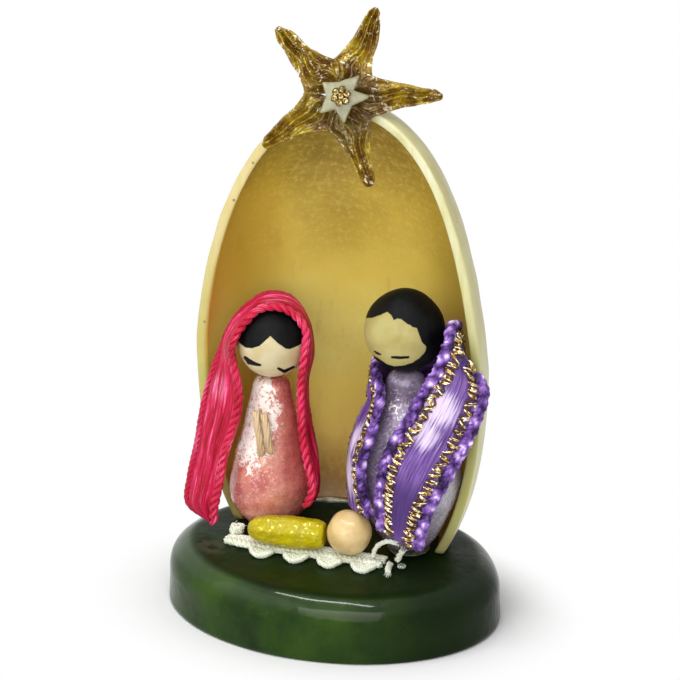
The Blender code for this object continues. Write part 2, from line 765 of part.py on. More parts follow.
ivory_curve = bpy.data.curves.new("ivory_star", "CURVE")
ivory_curve.dimensions = "2D"
ivory_curve.fill_mode = "BOTH"
ivory_curve.extrude = ivory_thickness * 0.35 * mm
ivory_curve.bevel_depth = ivory_thickness * 0.15 * mm
ivory_curve.bevel_resolution = 1
ivory_curve.render_resolution_u = 0
ivory_spline = ivory_curve.splines.new("POLY")
ivory_spline.points.add(9)
for step in range(10):
    number = step // 2
    turn = ivory_angles[number]
    if step % 2:
        turn += ((ivory_angles[(number + 1) % 5] - turn) % 360.0) * 0.5
    turn = math.radians(turn)
    reach = ivory_waist if step % 2 else ivory_reaches[number]
    ivory_spline.points[step].co = (reach * math.cos(turn) * mm, reach * math.sin(turn) * mm,
                                    0.0, 1.0)
ivory_spline.use_cyclic_u = True
ivory_star = add("ivory_star", ivory_curve, ivory)
ivory_star.parent = star_frame
ivory_rise = arm_half_thickness + glue_gap
ivory_star.location = (0.0, 0.0, (ivory_rise + ivory_thickness * 0.5) * mm)

# Beads in the middle of the ivory star, fused into one cluster
bead_height = ivory_rise + ivory_thickness + glue_gap + bead_radius


def bead_at(name, paint, turn, ring, collection):
    mesh = bpy.data.meshes.new(name)
    work = bmesh.new()
    bmesh.ops.create_uvsphere(work, u_segments=8, v_segments=6, radius=bead_radius * mm)
    work.to_mesh(mesh)
    work.free()
    mesh.shade_smooth()
    made = bpy.data.objects.new(name, mesh)
    mesh.materials.append(paint)
    collection.objects.link(made)
    made.parent = star_frame
    made.location = (ring * math.cos(turn) * mm, ring * math.sin(turn) * mm, bead_height * mm)
    return made


cluster = bead_at("star_beads", gold_bead, 0.0, 0.0, parts)
for step in range(6):
    extra = bead_at("bead_" + str(step + 1), gold_bead, math.radians(17.0 + 60.0 * step),
                    bead_ring, cutters)
    extra.hide_render = True
    extra.display_type = "WIRE"
    join = cluster.modifiers.new("join_" + str(step + 1), "BOOLEAN")
    join.object = extra
    join.operation = "UNION"


# Glue blob that holds the star's back to the tip of the shell
def blob_shape(way):
    return Vector((0.34 * way.x, 0.5 * way.y, 0.26 * way.z))


tip_height = shell_mid_height + shell_rise
star_glue = shaped_ball("star_glue", dry_glue, 16, 10, blob_shape)
star_glue.location = Vector((shell_x + shell_lean - 0.1, rim_y + 0.42, tip_height + 0.26 + glue_gap)) * mm
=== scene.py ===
# Miniature nativity scene in half a nutshell: materials, soft pieces, light and camera
from math import atan2, cos, degrees, hypot, pi, radians, sin, sqrt

import bmesh
import bpy
from mathutils import Matrix, Quaternion, Vector, noise


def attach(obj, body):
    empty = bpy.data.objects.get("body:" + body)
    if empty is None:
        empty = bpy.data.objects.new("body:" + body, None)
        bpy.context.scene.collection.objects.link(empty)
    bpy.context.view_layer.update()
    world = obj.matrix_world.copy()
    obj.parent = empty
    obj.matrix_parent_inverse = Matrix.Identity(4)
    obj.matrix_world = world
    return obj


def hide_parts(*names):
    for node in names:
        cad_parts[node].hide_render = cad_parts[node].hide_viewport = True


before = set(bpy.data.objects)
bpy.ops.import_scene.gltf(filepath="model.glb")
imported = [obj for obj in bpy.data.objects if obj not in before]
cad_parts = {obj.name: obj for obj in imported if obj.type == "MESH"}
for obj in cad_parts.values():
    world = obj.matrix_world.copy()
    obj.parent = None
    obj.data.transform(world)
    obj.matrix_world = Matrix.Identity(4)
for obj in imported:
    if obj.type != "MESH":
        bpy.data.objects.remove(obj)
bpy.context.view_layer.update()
mm = 0.001
mergeGap = 0.0000002
tiny = 0.000001
print("frame loaded")

# Where the photograph was taken from
shot = {"azimuth": 22.0, "elevation": 25.0, "lens": 1200.0, "sensor": 36.0, "frameSize": 28.56,
        "aimRight": 0.23, "aimUp": 11.19, "near": 0.005, "far": 10.0}


def lookFrom(azimuth, elevation):
    side = radians(azimuth)
    rise = radians(elevation)
    out = Vector((sin(side) * cos(rise), -cos(side) * cos(rise), sin(rise)))
    right = Vector((cos(side), sin(side), 0.0))
    return right, out.cross(right), out


def makeCamera():
    right, up, out = lookFrom(shot["azimuth"], shot["elevation"])
    data = bpy.data.cameras.new("photoCamera")
    data.lens = shot["lens"]
    data.sensor_width = shot["sensor"]
    data.clip_start = shot["near"]
    data.clip_end = shot["far"]
    distance = shot["frameSize"] * shot["lens"] / shot["sensor"]
    camera = bpy.data.objects.new("photoCamera", data)
    camera.location = (right * shot["aimRight"] + up * shot["aimUp"] + out * distance) * mm
    camera.rotation_mode = "QUATERNION"
    camera.rotation_quaternion = out.to_track_quat("Z", "Y")
    bpy.context.scene.collection.objects.link(camera)
    bpy.context.scene.camera = camera


makeCamera()
print("camera set")


class Wire:  # one output of a node tree, so that sums on it add the nodes they need
    def __init__(self, tree, link):
        self.tree = tree
        self.link = link

    def math(self, operation, *values):
        made = self.tree.nodes.new("ShaderNodeMath")
        made.operation = operation
        for index, value in enumerate(values):
            plug(self.tree, value, made.inputs[index])
        return Wire(self.tree, made.outputs[0])

    def __add__(self, other):
        return self.math("ADD", self, other)

    def __sub__(self, other):
        return self.math("SUBTRACT", self, other)

    def __rsub__(self, other):
        return self.math("SUBTRACT", other, self)

    def __mul__(self, other):
        return self.math("MULTIPLY", self, other)

    def __truediv__(self, other):
        return self.math("DIVIDE", self, other)

    def __lt__(self, other):
        return self.math("LESS_THAN", self, other)


def colour(tint):  # red, green and blue from 0 to 255 as the linear values of a socket
    return tuple(share / 12.92 if share <= 0.04045 else ((share + 0.055) / 1.055) ** 2.4
                 for share in (value / 255.0 for value in tint)) + (1.0,)


def plug(tree, value, socket):
    if isinstance(value, Wire):
        tree.links.new(value.link, socket)
    else:
        socket.default_value = colour(value) if socket.type == "RGBA" else value


class Finish:  # one material and the few kinds of node that the finishes here share
    def __init__(self, name, base, roughness, metallic=0.0, coat=0.0, **constants):
        self.material = bpy.data.materials.new(name)
        self.material.use_nodes = True
        self.tree = self.material.node_tree
        self.shader = self.tree.nodes["Principled BSDF"]
        self.set("Base Color", base)
        self.set("Roughness", roughness)
        self.set("Metallic", metallic)
        self.set("Coat Weight", coat)
        for label, value in constants.items():
            self.set(label.replace("_", " "), value)

    def set(self, label, value):
        plug(self.tree, value, self.shader.inputs[label])

    def dress(self, tint, rough, normal):
        self.set("Base Color", tint)
        self.set("Roughness", rough)
        self.set("Normal", normal)

    def node(self, kind, settings=None, inputs=None, output=0):
        made = self.tree.nodes.new("ShaderNode" + kind)
        for label, value in (settings or {}).items():
            if label == "stops":
                ramp = made.color_ramp
                while len(ramp.elements) < len(value):
                    ramp.elements.new(0.5)
                for element, (place, tint) in zip(ramp.elements, value):
                    element.position = place
                    element.color = colour(tint)
            else:
                setattr(made, label, value)
        for label, value in (inputs or {}).items():
            plug(self.tree, value, made.inputs[label])
        return Wire(self.tree, made.outputs[output])

    def place(self):  # metres in the object's own frame
        return self.node("TexCoord", output="Object")

    def scaled(self, size):
        return self.node("Mapping", inputs={"Vector": self.place(), "Scale": size})

    def flat(self, across, along, slant=0.0):  # a piece's own way across and along
        run = self.node("UVMap", {"uv_map": "flat"})
        side, reach = self.axis(run, "X"), self.axis(run, "Y")
        return self.node("CombineXYZ", inputs={"X": side * across + reach * slant,
                                               "Y": reach * along})

    def axis(self, vector, name):
        return self.node("SeparateXYZ", inputs={"Vector": vector}, output=name)

    def cloud(self, size, detail=3.0, rough=0.5, vector=None, warp=0.0):
        return self.node("TexNoise", inputs={"Vector": vector or self.place(),
                                             "Scale": 1.0 / (size * mm),
                                             "Detail": detail, "Roughness": rough,
                                             "Distortion": warp})

    def cells(self, size, feature="F1", output="Distance"):
        return self.node("TexVoronoi", {"feature": feature},
                         {"Vector": self.place(), "Scale": 1.0 / (size * mm)}, output)

    def ramp(self, factor, stops):
        return self.node("ValToRGB", {"stops": stops}, {"Fac": factor})

    def step(self, value, low, high):  # 0 at low, 1 at high, smooth between
        return self.node("MapRange", {"interpolation_type": "SMOOTHSTEP"},
                         {"Value": value, "From Min": low, "From Max": high})

    def reading(self, name):  # a coordinate in millimetres
        return self.axis(self.place(), name) / mm

    def near(self, spot, inner, outer, place=None):  # 1 at a spot, 0 from the outer reach on
        gap = self.node("VectorMath", {"operation": "DISTANCE"},
                        {0: place or self.place(), 1: Vector(spot) * mm}, "Value")
        return 1.0 - self.step(gap, inner * mm, outer * mm)

    def blend(self, factor, first, second):  # 6, 7 and 2 are the colour sockets of a Mix node
        return self.node("Mix", {"data_type": "RGBA"}, {0: factor, 6: first, 7: second}, 2)

    def layered(self, tint, coats):  # tints laid over one another, each through its own mask
        for mask, over in coats:
            tint = self.blend(mask, tint, over)
        return tint

    def bump(self, height, strength, distance, under=None):
        inputs = {"Height": height, "Strength": strength, "Distance": distance * mm}
        return self.node("Bump", inputs=inputs | ({"Normal": under} if under else {}))


def shownRays(tree):  # 1 for rays that show a surface: straight, mirrored or through glass
    path = tree.nodes.new("ShaderNodeLightPath").outputs
    straight, mirrored, through = (Wire(tree, path["Is " + kind + " Ray"])
                                   for kind in ("Camera", "Glossy", "Transmission"))
    shown = straight + mirrored + through
    return shown.math("MINIMUM", shown, 1.0)


def stage():
    studio = {"floorSize": 1.2, "floorTint": (247, 247, 247), "white": (255, 255, 255),
              "sky": 0.42}
    mesh = bpy.data.meshes.new("floor")
    work = bmesh.new()
    bmesh.ops.create_grid(work, x_segments=1, y_segments=1, size=studio["floorSize"] * 0.5)
    work.to_mesh(mesh)
    work.free()
    floor = bpy.data.objects.new("floor", mesh)
    bpy.context.scene.collection.objects.link(floor)
    paper = Finish("floorPaper", studio["floorTint"], 0.9)
    light = paper.node("Emission", inputs={"Color": studio["white"], "Strength": 1.0})
    # The camera sees white paper, lightly shaded where the object stands
    reach = paper.node("VectorMath", {"operation": "LENGTH"},
                       {0: paper.scaled((1.0, 1.3, 1.0))}, "Value")
    plain = paper.step(reach, 7.0 * mm, 11.0 * mm) * shownRays(paper.tree)
    mixed = paper.node("MixShader", inputs={0: plain, 1: Wire(paper.tree, paper.shader.outputs[0]),
                                            2: light})
    paper.tree.links.new(mixed.link, paper.tree.nodes["Material Output"].inputs["Surface"])
    mesh.materials.append(paper.material)

    world = bpy.data.worlds.new("studio")
    bpy.context.scene.world = world
    world.use_nodes = True
    sky = world.node_tree.nodes["Background"]
    strength = shownRays(world.node_tree) * (1.0 - studio["sky"]) + studio["sky"]
    world.node_tree.links.new(strength.link, sky.inputs["Strength"])
    sky.inputs["Color"].default_value = colour(studio["white"])


def lamp(name, place, aim, size, power):
    data = bpy.data.lights.new(name, "AREA")
    data.shape = "RECTANGLE"
    data.size = size[0] * mm
    data.size_y = size[1] * mm
    data.energy = power
    made = bpy.data.objects.new(name, data)
    made.location = Vector(place) * mm
    made.rotation_euler = (Vector(place) - Vector(aim)).to_track_quat("Z", "Y").to_euler()
    bpy.context.scene.collection.objects.link(made)


bpy.context.scene.view_settings.view_transform = "Standard"
stage()
lamp("softboxFront", (22, -124, 74), (0, 0, 10), (120, 76), 0.108)
lamp("softboxLeft", (-85, -80, 70), (0, 0, 10), (120, 120), 0.026)
lamp("topLight", (-12, -29, 116), (0, 0, 3), (80, 9), 0.048)
print("stage and lamps set")


def guideAt(guides, share):
    last = len(guides) - 1
    place = last * clamp(share)
    span = min(int(place), last - 1)
    part = place - span
    before = guides[max(span - 1, 0)]
    start = guides[span]
    end = guides[span + 1]
    after = guides[min(span + 2, last)]
    return 0.5 * (2.0 * start + (end - before) * part
                  + (2.0 * before - 5.0 * start + 4.0 * end - after) * part ** 2
                  + (3.0 * start - before - 3.0 * end + after) * part ** 3)


def spots(rule, places):  # guide points, each given by the rule that places it
    return [rule(*place) for place in places]


def at(x, y, z):
    return Vector((x, y, z))


def ringSpot(radius, turn, height):
    return Vector((radius * cos(turn), radius * sin(turn), height))


def turnsOf(count):  # angles evenly round a full circle
    return [2.0 * pi * step / count for step in range(count)]


def clamp(value):
    return min(max(value, 0.0), 1.0)


def runsOf(path):  # how far along a path each of its points lies
    runs = [0.0]
    for before, place in zip(path, path[1:]):
        runs.append(runs[-1] + (place - before).length)
    return runs


def evenPath(guides, spacing):  # the curve through the guides, its points this far apart
    fine = 40 * len(guides)
    dense = [guideAt(guides, index / fine) for index in range(fine + 1)]
    runs = runsOf(dense)
    count = max(int(runs[-1] / spacing), 2) + 1
    path = []
    span = 0
    for index in range(count):
        goal = runs[-1] * index / (count - 1)
        while span < fine - 1 and runs[span + 1] < goal:
            span += 1
        share = (goal - runs[span]) / max(runs[span + 1] - runs[span], tiny)
        path.append(dense[span].lerp(dense[span + 1], clamp(share)))
    return path


def wave(place, size, seed=0.0):  # smooth unevenness, about -1 to 1
    return noise.noise(Vector((place.x / size + seed, place.y / size - seed * 1.7,
                               place.z / size + seed * 0.6))) * 1.6


def framesOf(path):  # each point with its side and up directions
    made = []
    side = None
    for index, place in enumerate(path):
        run = (path[min(index + 1, len(path) - 1)] - path[max(index - 1, 0)]).normalized()
        side = run.orthogonal() if side is None else side
        side = (side - run * side.dot(run)).normalized()
        made.append((place, side, run.cross(side)))
    return made


def twisted(path, offset, pitch, phase, loose=0.0):  # one ply of a twisted thread
    made = []
    for (place, side, up), reach in zip(framesOf(path), runsOf(path)):
        turn = 2.0 * pi * (reach / pitch + phase)
        out = offset * (1.0 + loose * wave(place, 0.5, phase * 9.0))
        made.append(place + side * cos(turn) * out + up * sin(turn) * out)
    return made


class Shape:  # points in millimetres and the faces between them, gathered into one piece
    def __init__(self):
        self.points = []
        self.faces = []
        self.flat = []
        self.paints = []
        self.marks = {}

    def face(self, corners, flat, paint=0):
        self.faces.append(corners)
        self.flat.append(flat)
        self.paints.append(paint)

    def sheet(self, rows, paint=0, runs=None):  # closed around each row, open at both ends
        start = len(self.points)
        wide = len(rows[0])
        runs = runs or [r / (len(rows) - 1) for r in range(len(rows))]
        for row in rows:
            self.points.extend(row)
        for r in range(len(rows) - 1):
            for c in range(wide):
                low = start + r * wide
                high = low + wide
                d = (c + 1) % wide
                left, right = c / wide, (c + 1) / wide
                self.face([low + c, low + d, high + d, high + c],
                          [(left, runs[r]), (right, runs[r]),
                           (right, runs[r + 1]), (left, runs[r + 1])], paint)
        return start

    def cap(self, start, count, paint=0, back=False):
        corners = list(range(start, start + count))
        self.face(corners[::-1] if back else corners, [(0.5, 0.0)] * count, paint)

    def tube(self, path, radius, sides=8, swell=None, paint=0, flatten=1.0):
        rows = []
        for index, (place, side, up) in enumerate(framesOf(path)):
            size = radius * (swell[index] if swell else 1.0)
            rows.append([place + side * cos(turn) * size + up * sin(turn) * size * flatten
                         for turn in turnsOf(sides)])
        start = self.sheet(rows, paint, runsOf(path))
        self.cap(start, sides, paint, True)
        self.cap(start + (len(rows) - 1) * sides, sides, paint)

    def ball(self, centre, shape, segments, rings, facing=None, marks=None):
        facing = facing or Matrix.Identity(3)
        rows = []
        for ring in range(rings + 1):
            tilt = pi * ring / rings
            rows.append([centre + facing @ shape(ringSpot(sin(tilt), turn, -cos(tilt)))
                         for turn in turnsOf(segments)])
        for name, rule in (marks or {}).items():
            self.marks[name] = [rule(place - centre) for row in rows for place in row]
        self.sheet(rows)

    def build(self, name, finishes, node):
        mesh = bpy.data.meshes.new(name)
        mesh.from_pydata([place * mm for place in self.points], [], self.faces)
        flat = mesh.uv_layers.new(name="flat")
        flat.data.foreach_set("uv", [value for corners in self.flat for pair in corners
                                     for value in pair])
        for finish in finishes:
            mesh.materials.append(finish.material)
        mesh.polygons.foreach_set("material_index", self.paints)
        for label, values in self.marks.items():
            mark = mesh.attributes.new(label, "FLOAT", "POINT")
            mark.data.foreach_set("value", values)
        work = bmesh.new()
        work.from_mesh(mesh)
        bmesh.ops.remove_doubles(work, verts=work.verts, dist=mergeGap)
        bmesh.ops.recalc_face_normals(work, faces=work.faces)
        work.to_mesh(mesh)
        work.free()
        mesh.shade_smooth()
        made = bpy.data.objects.new(name, mesh)
        bpy.context.scene.collection.objects.link(made)
        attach(made, "root")
        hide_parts(node)


def makeBall(name, centre, shape, segments, rings, finish, node, facing=None, marks=None):
    body = Shape()
    body.ball(centre, shape, segments, rings, facing, marks)
    body.build(name, [finish], node)


# Oval clay disc, rolled by hand and glazed dark green
disc = {"halfWidth": 7.2, "halfDepth": 5.5, "thickness": 2.85, "edgeReach": 1.4,
        "edgeDrop": 1.35, "middle": 0.02, "steps": 220, "topRings": 14, "edgeRings": 24}


def makeDiscFinish():
    green = Finish("greenClayFinish", (48, 63, 39), 0.2, coat=0.13, Coat_Roughness=0.05,
                   Specular_IOR_Level=0.08)
    broad = green.cloud(2.6, 4.0, 0.55)
    fine = green.cloud(0.35, 5.0, 0.6)
    side, height = green.reading("X"), green.reading("Z")
    top = green.step(height, 2.66, 2.8)
    smear = green.near((-4.75, -1.9, 2.85), 0.3, 1.3) * green.step(green.cloud(0.5), 0.45, 0.6)
    # Specks, painted reflection paler on the left, painted shade darker on the right and on the
    # flat top, dried glue near the veil
    tint = green.layered(
        green.ramp(broad, [(0.3, (20, 40, 6)), (0.52, (36, 62, 8)), (0.72, (50, 76, 14))]),
        [(green.step(fine, 0.55, 0.8) * 0.3, (66, 86, 40)),
         ((green.cells(0.5) < 0.07) * 0.4, (14, 26, 10)),
         (green.step(side, 1.0, 6.6) * 0.85, (6, 20, 3)),
         (green.step(side, -4.0, -7.2) * 0.2, (66, 80, 54)),
         (top * 0.75, (10, 24, 2)), (smear * 0.3, (104, 98, 84))])
    green.dress(tint, green.step(fine, 0.2, 0.9) * 0.16 + 0.13 + smear * 0.25 + top * 0.2,
                green.bump(fine, 0.22, 0.03, green.bump(broad, 0.35, 0.35)))
    shoulder = green.step(height, 2.1, 2.45) * (1.0 - top)
    green.set("Coat Weight", (1.0 - green.step(side, 1.5, 6.5) * 0.75)
              * (shoulder * 0.36 + 0.14 - top * 0.11))
    return green


def makeDisc():
    wide, middle, reach = disc["halfWidth"], disc["middle"], disc["edgeReach"]
    drop = disc["edgeDrop"]
    profile = [(middle + (wide - reach - middle) * step / disc["topRings"], disc["thickness"])
               for step in range(disc["topRings"])]
    for step in range(disc["edgeRings"] + 1):
        turn = pi / 2.0 * step / disc["edgeRings"]
        profile.append((wide - reach + reach * sin(turn),
                        disc["thickness"] - drop + drop * cos(turn)))
    profile += [(wide, 1.125), (wide, 0.75), (wide, 0.45), (wide, 0.3), (wide - 0.03, 0.12),
                (wide - 0.12, 0.03), (wide - 0.25, 0.0), (wide * 0.5, 0.0), (middle, 0.0)]
    body = Shape()
    rows = []
    for radius, height in profile:
        row = []
        for turn in turnsOf(disc["steps"]):
            place = Vector((radius * cos(turn),
                            radius * sin(turn) * disc["halfDepth"] / wide, height))
            edge = clamp((radius - 4.2) / 2.6)
            pull = 0.04 * (wave(place, 2.4) - 1.0) * edge * min(height / 0.3, 1.0)
            place.x += pull * cos(turn)
            place.y += pull * sin(turn)
            if height >= 0.3:
                place.z -= 0.035 * edge * (1.0 + wave(place, 1.6, 3.0))
            row.append(place)
        rows.append(row)
    start = body.sheet(rows)
    body.cap(start, disc["steps"])
    body.cap(start + (len(rows) - 1) * disc["steps"], disc["steps"], back=True)
    body.build("clayDisc", [makeDiscFinish()], "base_disc")


makeDisc()
print("disc made")


# Half a nutshell, its rim ground flat and its inside silky
shell = {"halfWidth": 6.45, "depthShare": 0.77, "wall": 0.48, "mid": 11.1, "rise": 11.8,
         "drop": 11.55, "footPower": 2.3, "pinch": 0.033, "lean": 0.48, "x": -0.14,
         "rimY": 0.85, "foot": 2.93, "around": 96, "lowRings": 44, "highRings": 80,
         "rimSteps": 8}


def shellPoint(share, turn, inset):
    if share >= 0.0:
        half = sqrt(max(1.0 - share * share, 0.0))
        half *= (shell["halfWidth"] - inset) * (1.0 - shell["pinch"] * sin(pi * share))
        height = shell["mid"] + share * (shell["rise"] - inset)
    else:
        half = shell["halfWidth"] * sqrt(1.0 - abs(share) ** shell["footPower"]) - inset
        height = shell["mid"] + share * shell["drop"]
    across = shell["x"] + shell["lean"] * max(share, 0.0) ** 2 + half * cos(turn)
    back = half * shell["depthShare"] + inset * (shell["depthShare"] - 1.0) * (half > 0.3)
    return Vector((across, shell["rimY"] + max(back, 0.0) * sin(turn), height))


def makeShellFinish():
    nut = Finish("nutshellFinish", (203, 188, 124), 0.45, Coat_Roughness=0.25)
    inside = nut.node("Attribute", {"attribute_name": "inside"}, output="Fac")
    height, across = nut.reading("Z"), nut.reading("X")
    grain = nut.cloud(0.5, 5.0, 0.6, nut.scaled((1.0, 1.0, 0.16)))
    bands = nut.cloud(0.3, 4.0, 0.6, nut.scaled((0.22, 0.22, 1.0)), 0.6)
    blotch = nut.cloud(4.5, 3.0, 0.5)
    stain = (nut.near((-3.6, 3.6, 7.1), 0.1, 1.2, nut.scaled((1.0, 1.0, 0.45)))
             * nut.step(nut.cloud(1.1), 0.4, 0.6))
    # The inside is painted brightest at mid height and darker towards the crown and the foot, as
    # painted light and shade
    tan = nut.layered(
        nut.ramp(height / 25.0 + (blotch - 0.5) * 0.3,
                 [(0.13, (184, 132, 30)), (0.22, (242, 208, 100)), (0.32, (250, 224, 104)),
                  (0.42, (255, 240, 130)), (0.52, (238, 212, 92)), (0.6, (216, 189, 74)),
                  (0.7, (182, 154, 50)), (0.84, (132, 106, 26))]),
        [(nut.step(nut.cloud(0.22, 4.0, 0.65), 0.45, 0.75) * 0.35, (240, 212, 116)),
         (nut.step(bands, 0.45, 0.75) * 0.12, (236, 208, 112)),
         (nut.step(grain, 0.55, 0.8) * 0.3, (184, 144, 62)),
         (nut.step(across + blotch * 2.0, -2.2, -4.4) * 0.5, (182, 136, 30)),
         (nut.step(across - blotch, 1.4, 4.4) * 0.75, (158, 130, 44)),
         (stain * 0.55, (176, 112, 40))])
    rim = nut.layered(
        nut.ramp(grain, [(0.3, (206, 200, 138)), (0.7, (228, 226, 192))]),
        [(nut.step(across, 2.0, -4.0) * 0.6, (212, 184, 104)),
         ((1.0 - nut.step(height, 8.0, 19.0)) * 0.65, (176, 174, 74)),
         ((nut.cells(1.1) < 0.06) * 0.7, (130, 88, 40))])
    outer = nut.ramp(nut.cloud(3.0, 5.0, 0.6, nut.scaled((1.0, 1.0, 0.3))),
                     [(0.3, (194, 182, 118)), (0.55, (216, 210, 154)), (0.75, (230, 228, 188))])
    tint = nut.layered(outer, [((nut.cells(0.9) < 0.05) * 0.6, (120, 84, 44)),
                               (nut.step(inside, 0.2, 0.34), rim),
                               (nut.step(inside, 0.7, 0.8), tan),
                               ((1.0 - nut.step(height, 3.0, 4.6)) * 0.35, (120, 92, 48))])
    nut.dress(tint, nut.step(grain, 0.2, 0.8) * 0.15 + 0.36,
              nut.bump(grain, 0.25, 0.04, nut.bump(bands, 0.25, 0.03)))
    nut.set("Coat Weight", nut.step(inside, 0.7, 0.8) * 0.12 + 0.08)
    return nut


def makeShell():
    low = (shell["foot"] - shell["mid"]) / shell["drop"]
    around, rimSteps, high = shell["around"], shell["rimSteps"], shell["highRings"]
    shares = [low * (1.0 - step / shell["lowRings"]) for step in range(shell["lowRings"])]
    shares += [sin(pi / 2.0 * step / high) for step in range(high)] + [0.9998]
    rows = []
    inside = []
    for share in shares:
        row = []
        middle = shellPoint(share, 0.0, shell["wall"] * 0.5)
        room = min(1.0, (middle.x - shell["x"]) / 1.2)
        for step in range(around + 1):
            turn = pi * step / around
            place = shellPoint(share, turn, 0.0)
            worn = 0.02 * (wave(place, 1.3) - 1.0) * room
            place += ringSpot(worn, turn, 0.0)
            row.append(place)
            inside.append(0.0)
        for side in (pi, 0.0):
            edge = [shellPoint(share, side, shell["wall"] * part) for part in (0.0, 1.0)]
            if side == 0.0:
                edge.reverse()
            for index in range(1, rimSteps):
                part = index / rimSteps
                place = edge[0].lerp(edge[1], part)
                out = 0.09 * (1.0 - abs(2.0 * part - 1.0) ** 4)
                place.y -= out * room * (1.0 + 0.25 * wave(place, 0.7, 5.0))
                row.append(place)
                inside.append(0.5)
            if side == pi:
                for step in range(around, -1, -1):
                    row.append(shellPoint(share, pi * step / around, shell["wall"]))
                    inside.append(1.0)
        rows.append(row)
    body = Shape()
    body.sheet(rows)
    body.marks["inside"] = inside
    wide = len(rows[0])
    last = 2 * around + rimSteps
    for step in range(around):
        body.face([step, last - step, last - step - 1, step + 1], [(0.0, 0.0)] * 4)
    for side in (around, last):
        body.face([(side + step) % wide for step in range(rimSteps + 1)],
                  [(0.0, 0.0)] * (rimSteps + 1))
    body.cap((len(rows) - 1) * wide, wide, back=True)
    body.build("halfNutshell", [makeShellFinish()], "nutshell_half")


makeShell()
print("shell made")


# Pear-shaped bodies of pearly clay under bead heads with painted hair and closed eyes
figureFoot = 3.16
woman = {"foot": (-3.25, 0.84), "head": (-2.94, 0.34, 11.62), "headRadius": 1.5, "peak": 0.0,
         "bodyRadius": 1.8, "bodyDepth": 1.8,
         "outline": [(0.955, 0.42), (0.86, 0.5), (0.65, 0.68), (0.45, 0.86), (0.26, 0.99),
                     (0.14, 0.92), (0.05, 0.7), (0.0, 0.47)]}
man = {"foot": (3.08, 0.7), "head": (2.83, 0.84, 12.92), "headRadius": 1.74, "peak": 0.12,
       "bodyRadius": 2.3, "bodyDepth": 1.95,
       "outline": [(0.955, 0.355), (0.86, 0.44), (0.72, 0.72), (0.4, 1.0), (0.184, 0.77),
                   (0.05, 0.52), (0.0, 0.38)]}
glueGap = 0.08
bodyRings, bodySteps = 150, 160
viewRight, viewUp, viewOut = lookFrom(shot["azimuth"], shot["elevation"])


def spread(value, pairs):  # straight runs between (place, value) pairs
    for (low, first), (high, second) in zip(pairs, pairs[1:]):
        if value <= high:
            share = clamp((value - low) / (high - low))
            return first + (second - first) * share
    return pairs[-1][1]


def strokeGap(a, b, line):  # distance to a painted stroke given as (right, up, half width)
    best = 9.0
    for (x1, y1, w1), (x2, y2, w2) in zip(line, line[1:]):
        run = (x2 - x1) ** 2 + (y2 - y1) ** 2
        share = clamp(((a - x1) * (x2 - x1) + (b - y1) * (y2 - y1)) / run)
        gap = hypot(a - x1 - (x2 - x1) * share, b - y1 - (y2 - y1) * share)
        best = min(best, gap - w1 - (w2 - w1) * share)
    return best


def axisOf(figure):
    foot = Vector(figure["foot"] + (figureFoot,))
    head = Vector(figure["head"])
    return foot, head - (head - foot).normalized() * (figure["headRadius"] + glueGap)


def makeBody(name, figure, finish, node):
    foot, top = axisOf(figure)
    height = (top - foot).length
    wide = figure["bodyRadius"]
    guides = [Vector((0.0, height, 0.0)),
              Vector((wide * figure["outline"][0][1] * 0.6, height - 0.03, 0.0))]
    guides += [Vector((wide * share, height * level, 0.0)) for level, share in figure["outline"]]
    turn = (Vector((0.0, 0.0, 1.0)).rotation_difference(top - foot)
            @ Quaternion((0.0, 0.0, 1.0), radians(shot["azimuth"])))
    press = figure["bodyDepth"] / wide
    rows = []
    for index in range(bodyRings + 1):
        place = guideAt(guides, index / bodyRings)
        radius = max(place.x, 0.01)
        height = max(place.y, 0.0) if index < bodyRings else 0.0
        row = []
        for angle in turnsOf(bodySteps):
            spot = ringSpot(radius, angle, height)
            dent = 0.02 * wave(spot, 1.1, 2.0) + 0.008 * wave(spot, 0.3, 7.0)
            shrink = 1.0 + (dent - 0.02) * min(radius, 1.0)
            row.append(foot + turn @ Vector((spot.x * shrink, spot.y * shrink * press, spot.z)))
        rows.append(row)
    body = Shape()
    start = body.sheet(rows)
    body.cap(start, bodySteps, back=True)
    body.cap(start + bodyRings * bodySteps, bodySteps)
    body.build(name, [finish], node)


def pearlFinish(name, deep, mid, pale, flake, gleam):
    pearl = Finish(name, mid, 0.3, metallic=0.25, coat=0.35, Coat_Roughness=0.1)
    cloudy = pearl.cloud(1.3, 4.0, 0.6)
    fine = pearl.cloud(0.1, 3.0, 0.7)
    flakes = pearl.cells(0.09, output="Color")
    pick = pearl.axis(flakes, "X")
    lit = pearl.step(pick, 0.78, 0.86)
    across = gleam["place"][0]
    # Pale mica patches painted where the light catches the near side as a painted highlight, the
    # far side given its own tint as painted shading of that side
    near = pearl.near(gleam["place"], 0.3, gleam["reach"], pearl.scaled((1.0, 1.0, 0.5)))
    patch = pearl.step(pearl.cloud(0.26, 4.0, 0.7, None, 0.8) + near * gleam["strength"],
                       0.66, 0.72)
    highlightTint = pearl.ramp(pearl.cloud(0.16, 3.0, 0.7),
                      [(0.36, (186, 136, 112)), (0.43, (252, 240, 230)), (0.7, (255, 252, 248))])
    tint = pearl.layered(
        pearl.ramp(cloudy, [(0.3, deep), (0.5, mid), (0.7, pale)]),
        [(lit * 0.4, flake), (pearl.step(pick, 0.24, 0.16) * 0.2, deep),
         (pearl.step(pearl.reading("X"), across + 0.6, across + 2.4) * 0.5, gleam["far"]),
         (patch * pearl.step(near, 0.0, 0.3) * 0.95, highlightTint)])
    pearl.dress(tint, pearl.step(pick, 0.0, 1.0) * 0.25 + 0.2,
                pearl.bump(fine, 0.3, 0.03, pearl.bump(flakes, 0.3, 0.03)))
    pearl.set("Metallic", lit * 0.4 + 0.12)
    return pearl


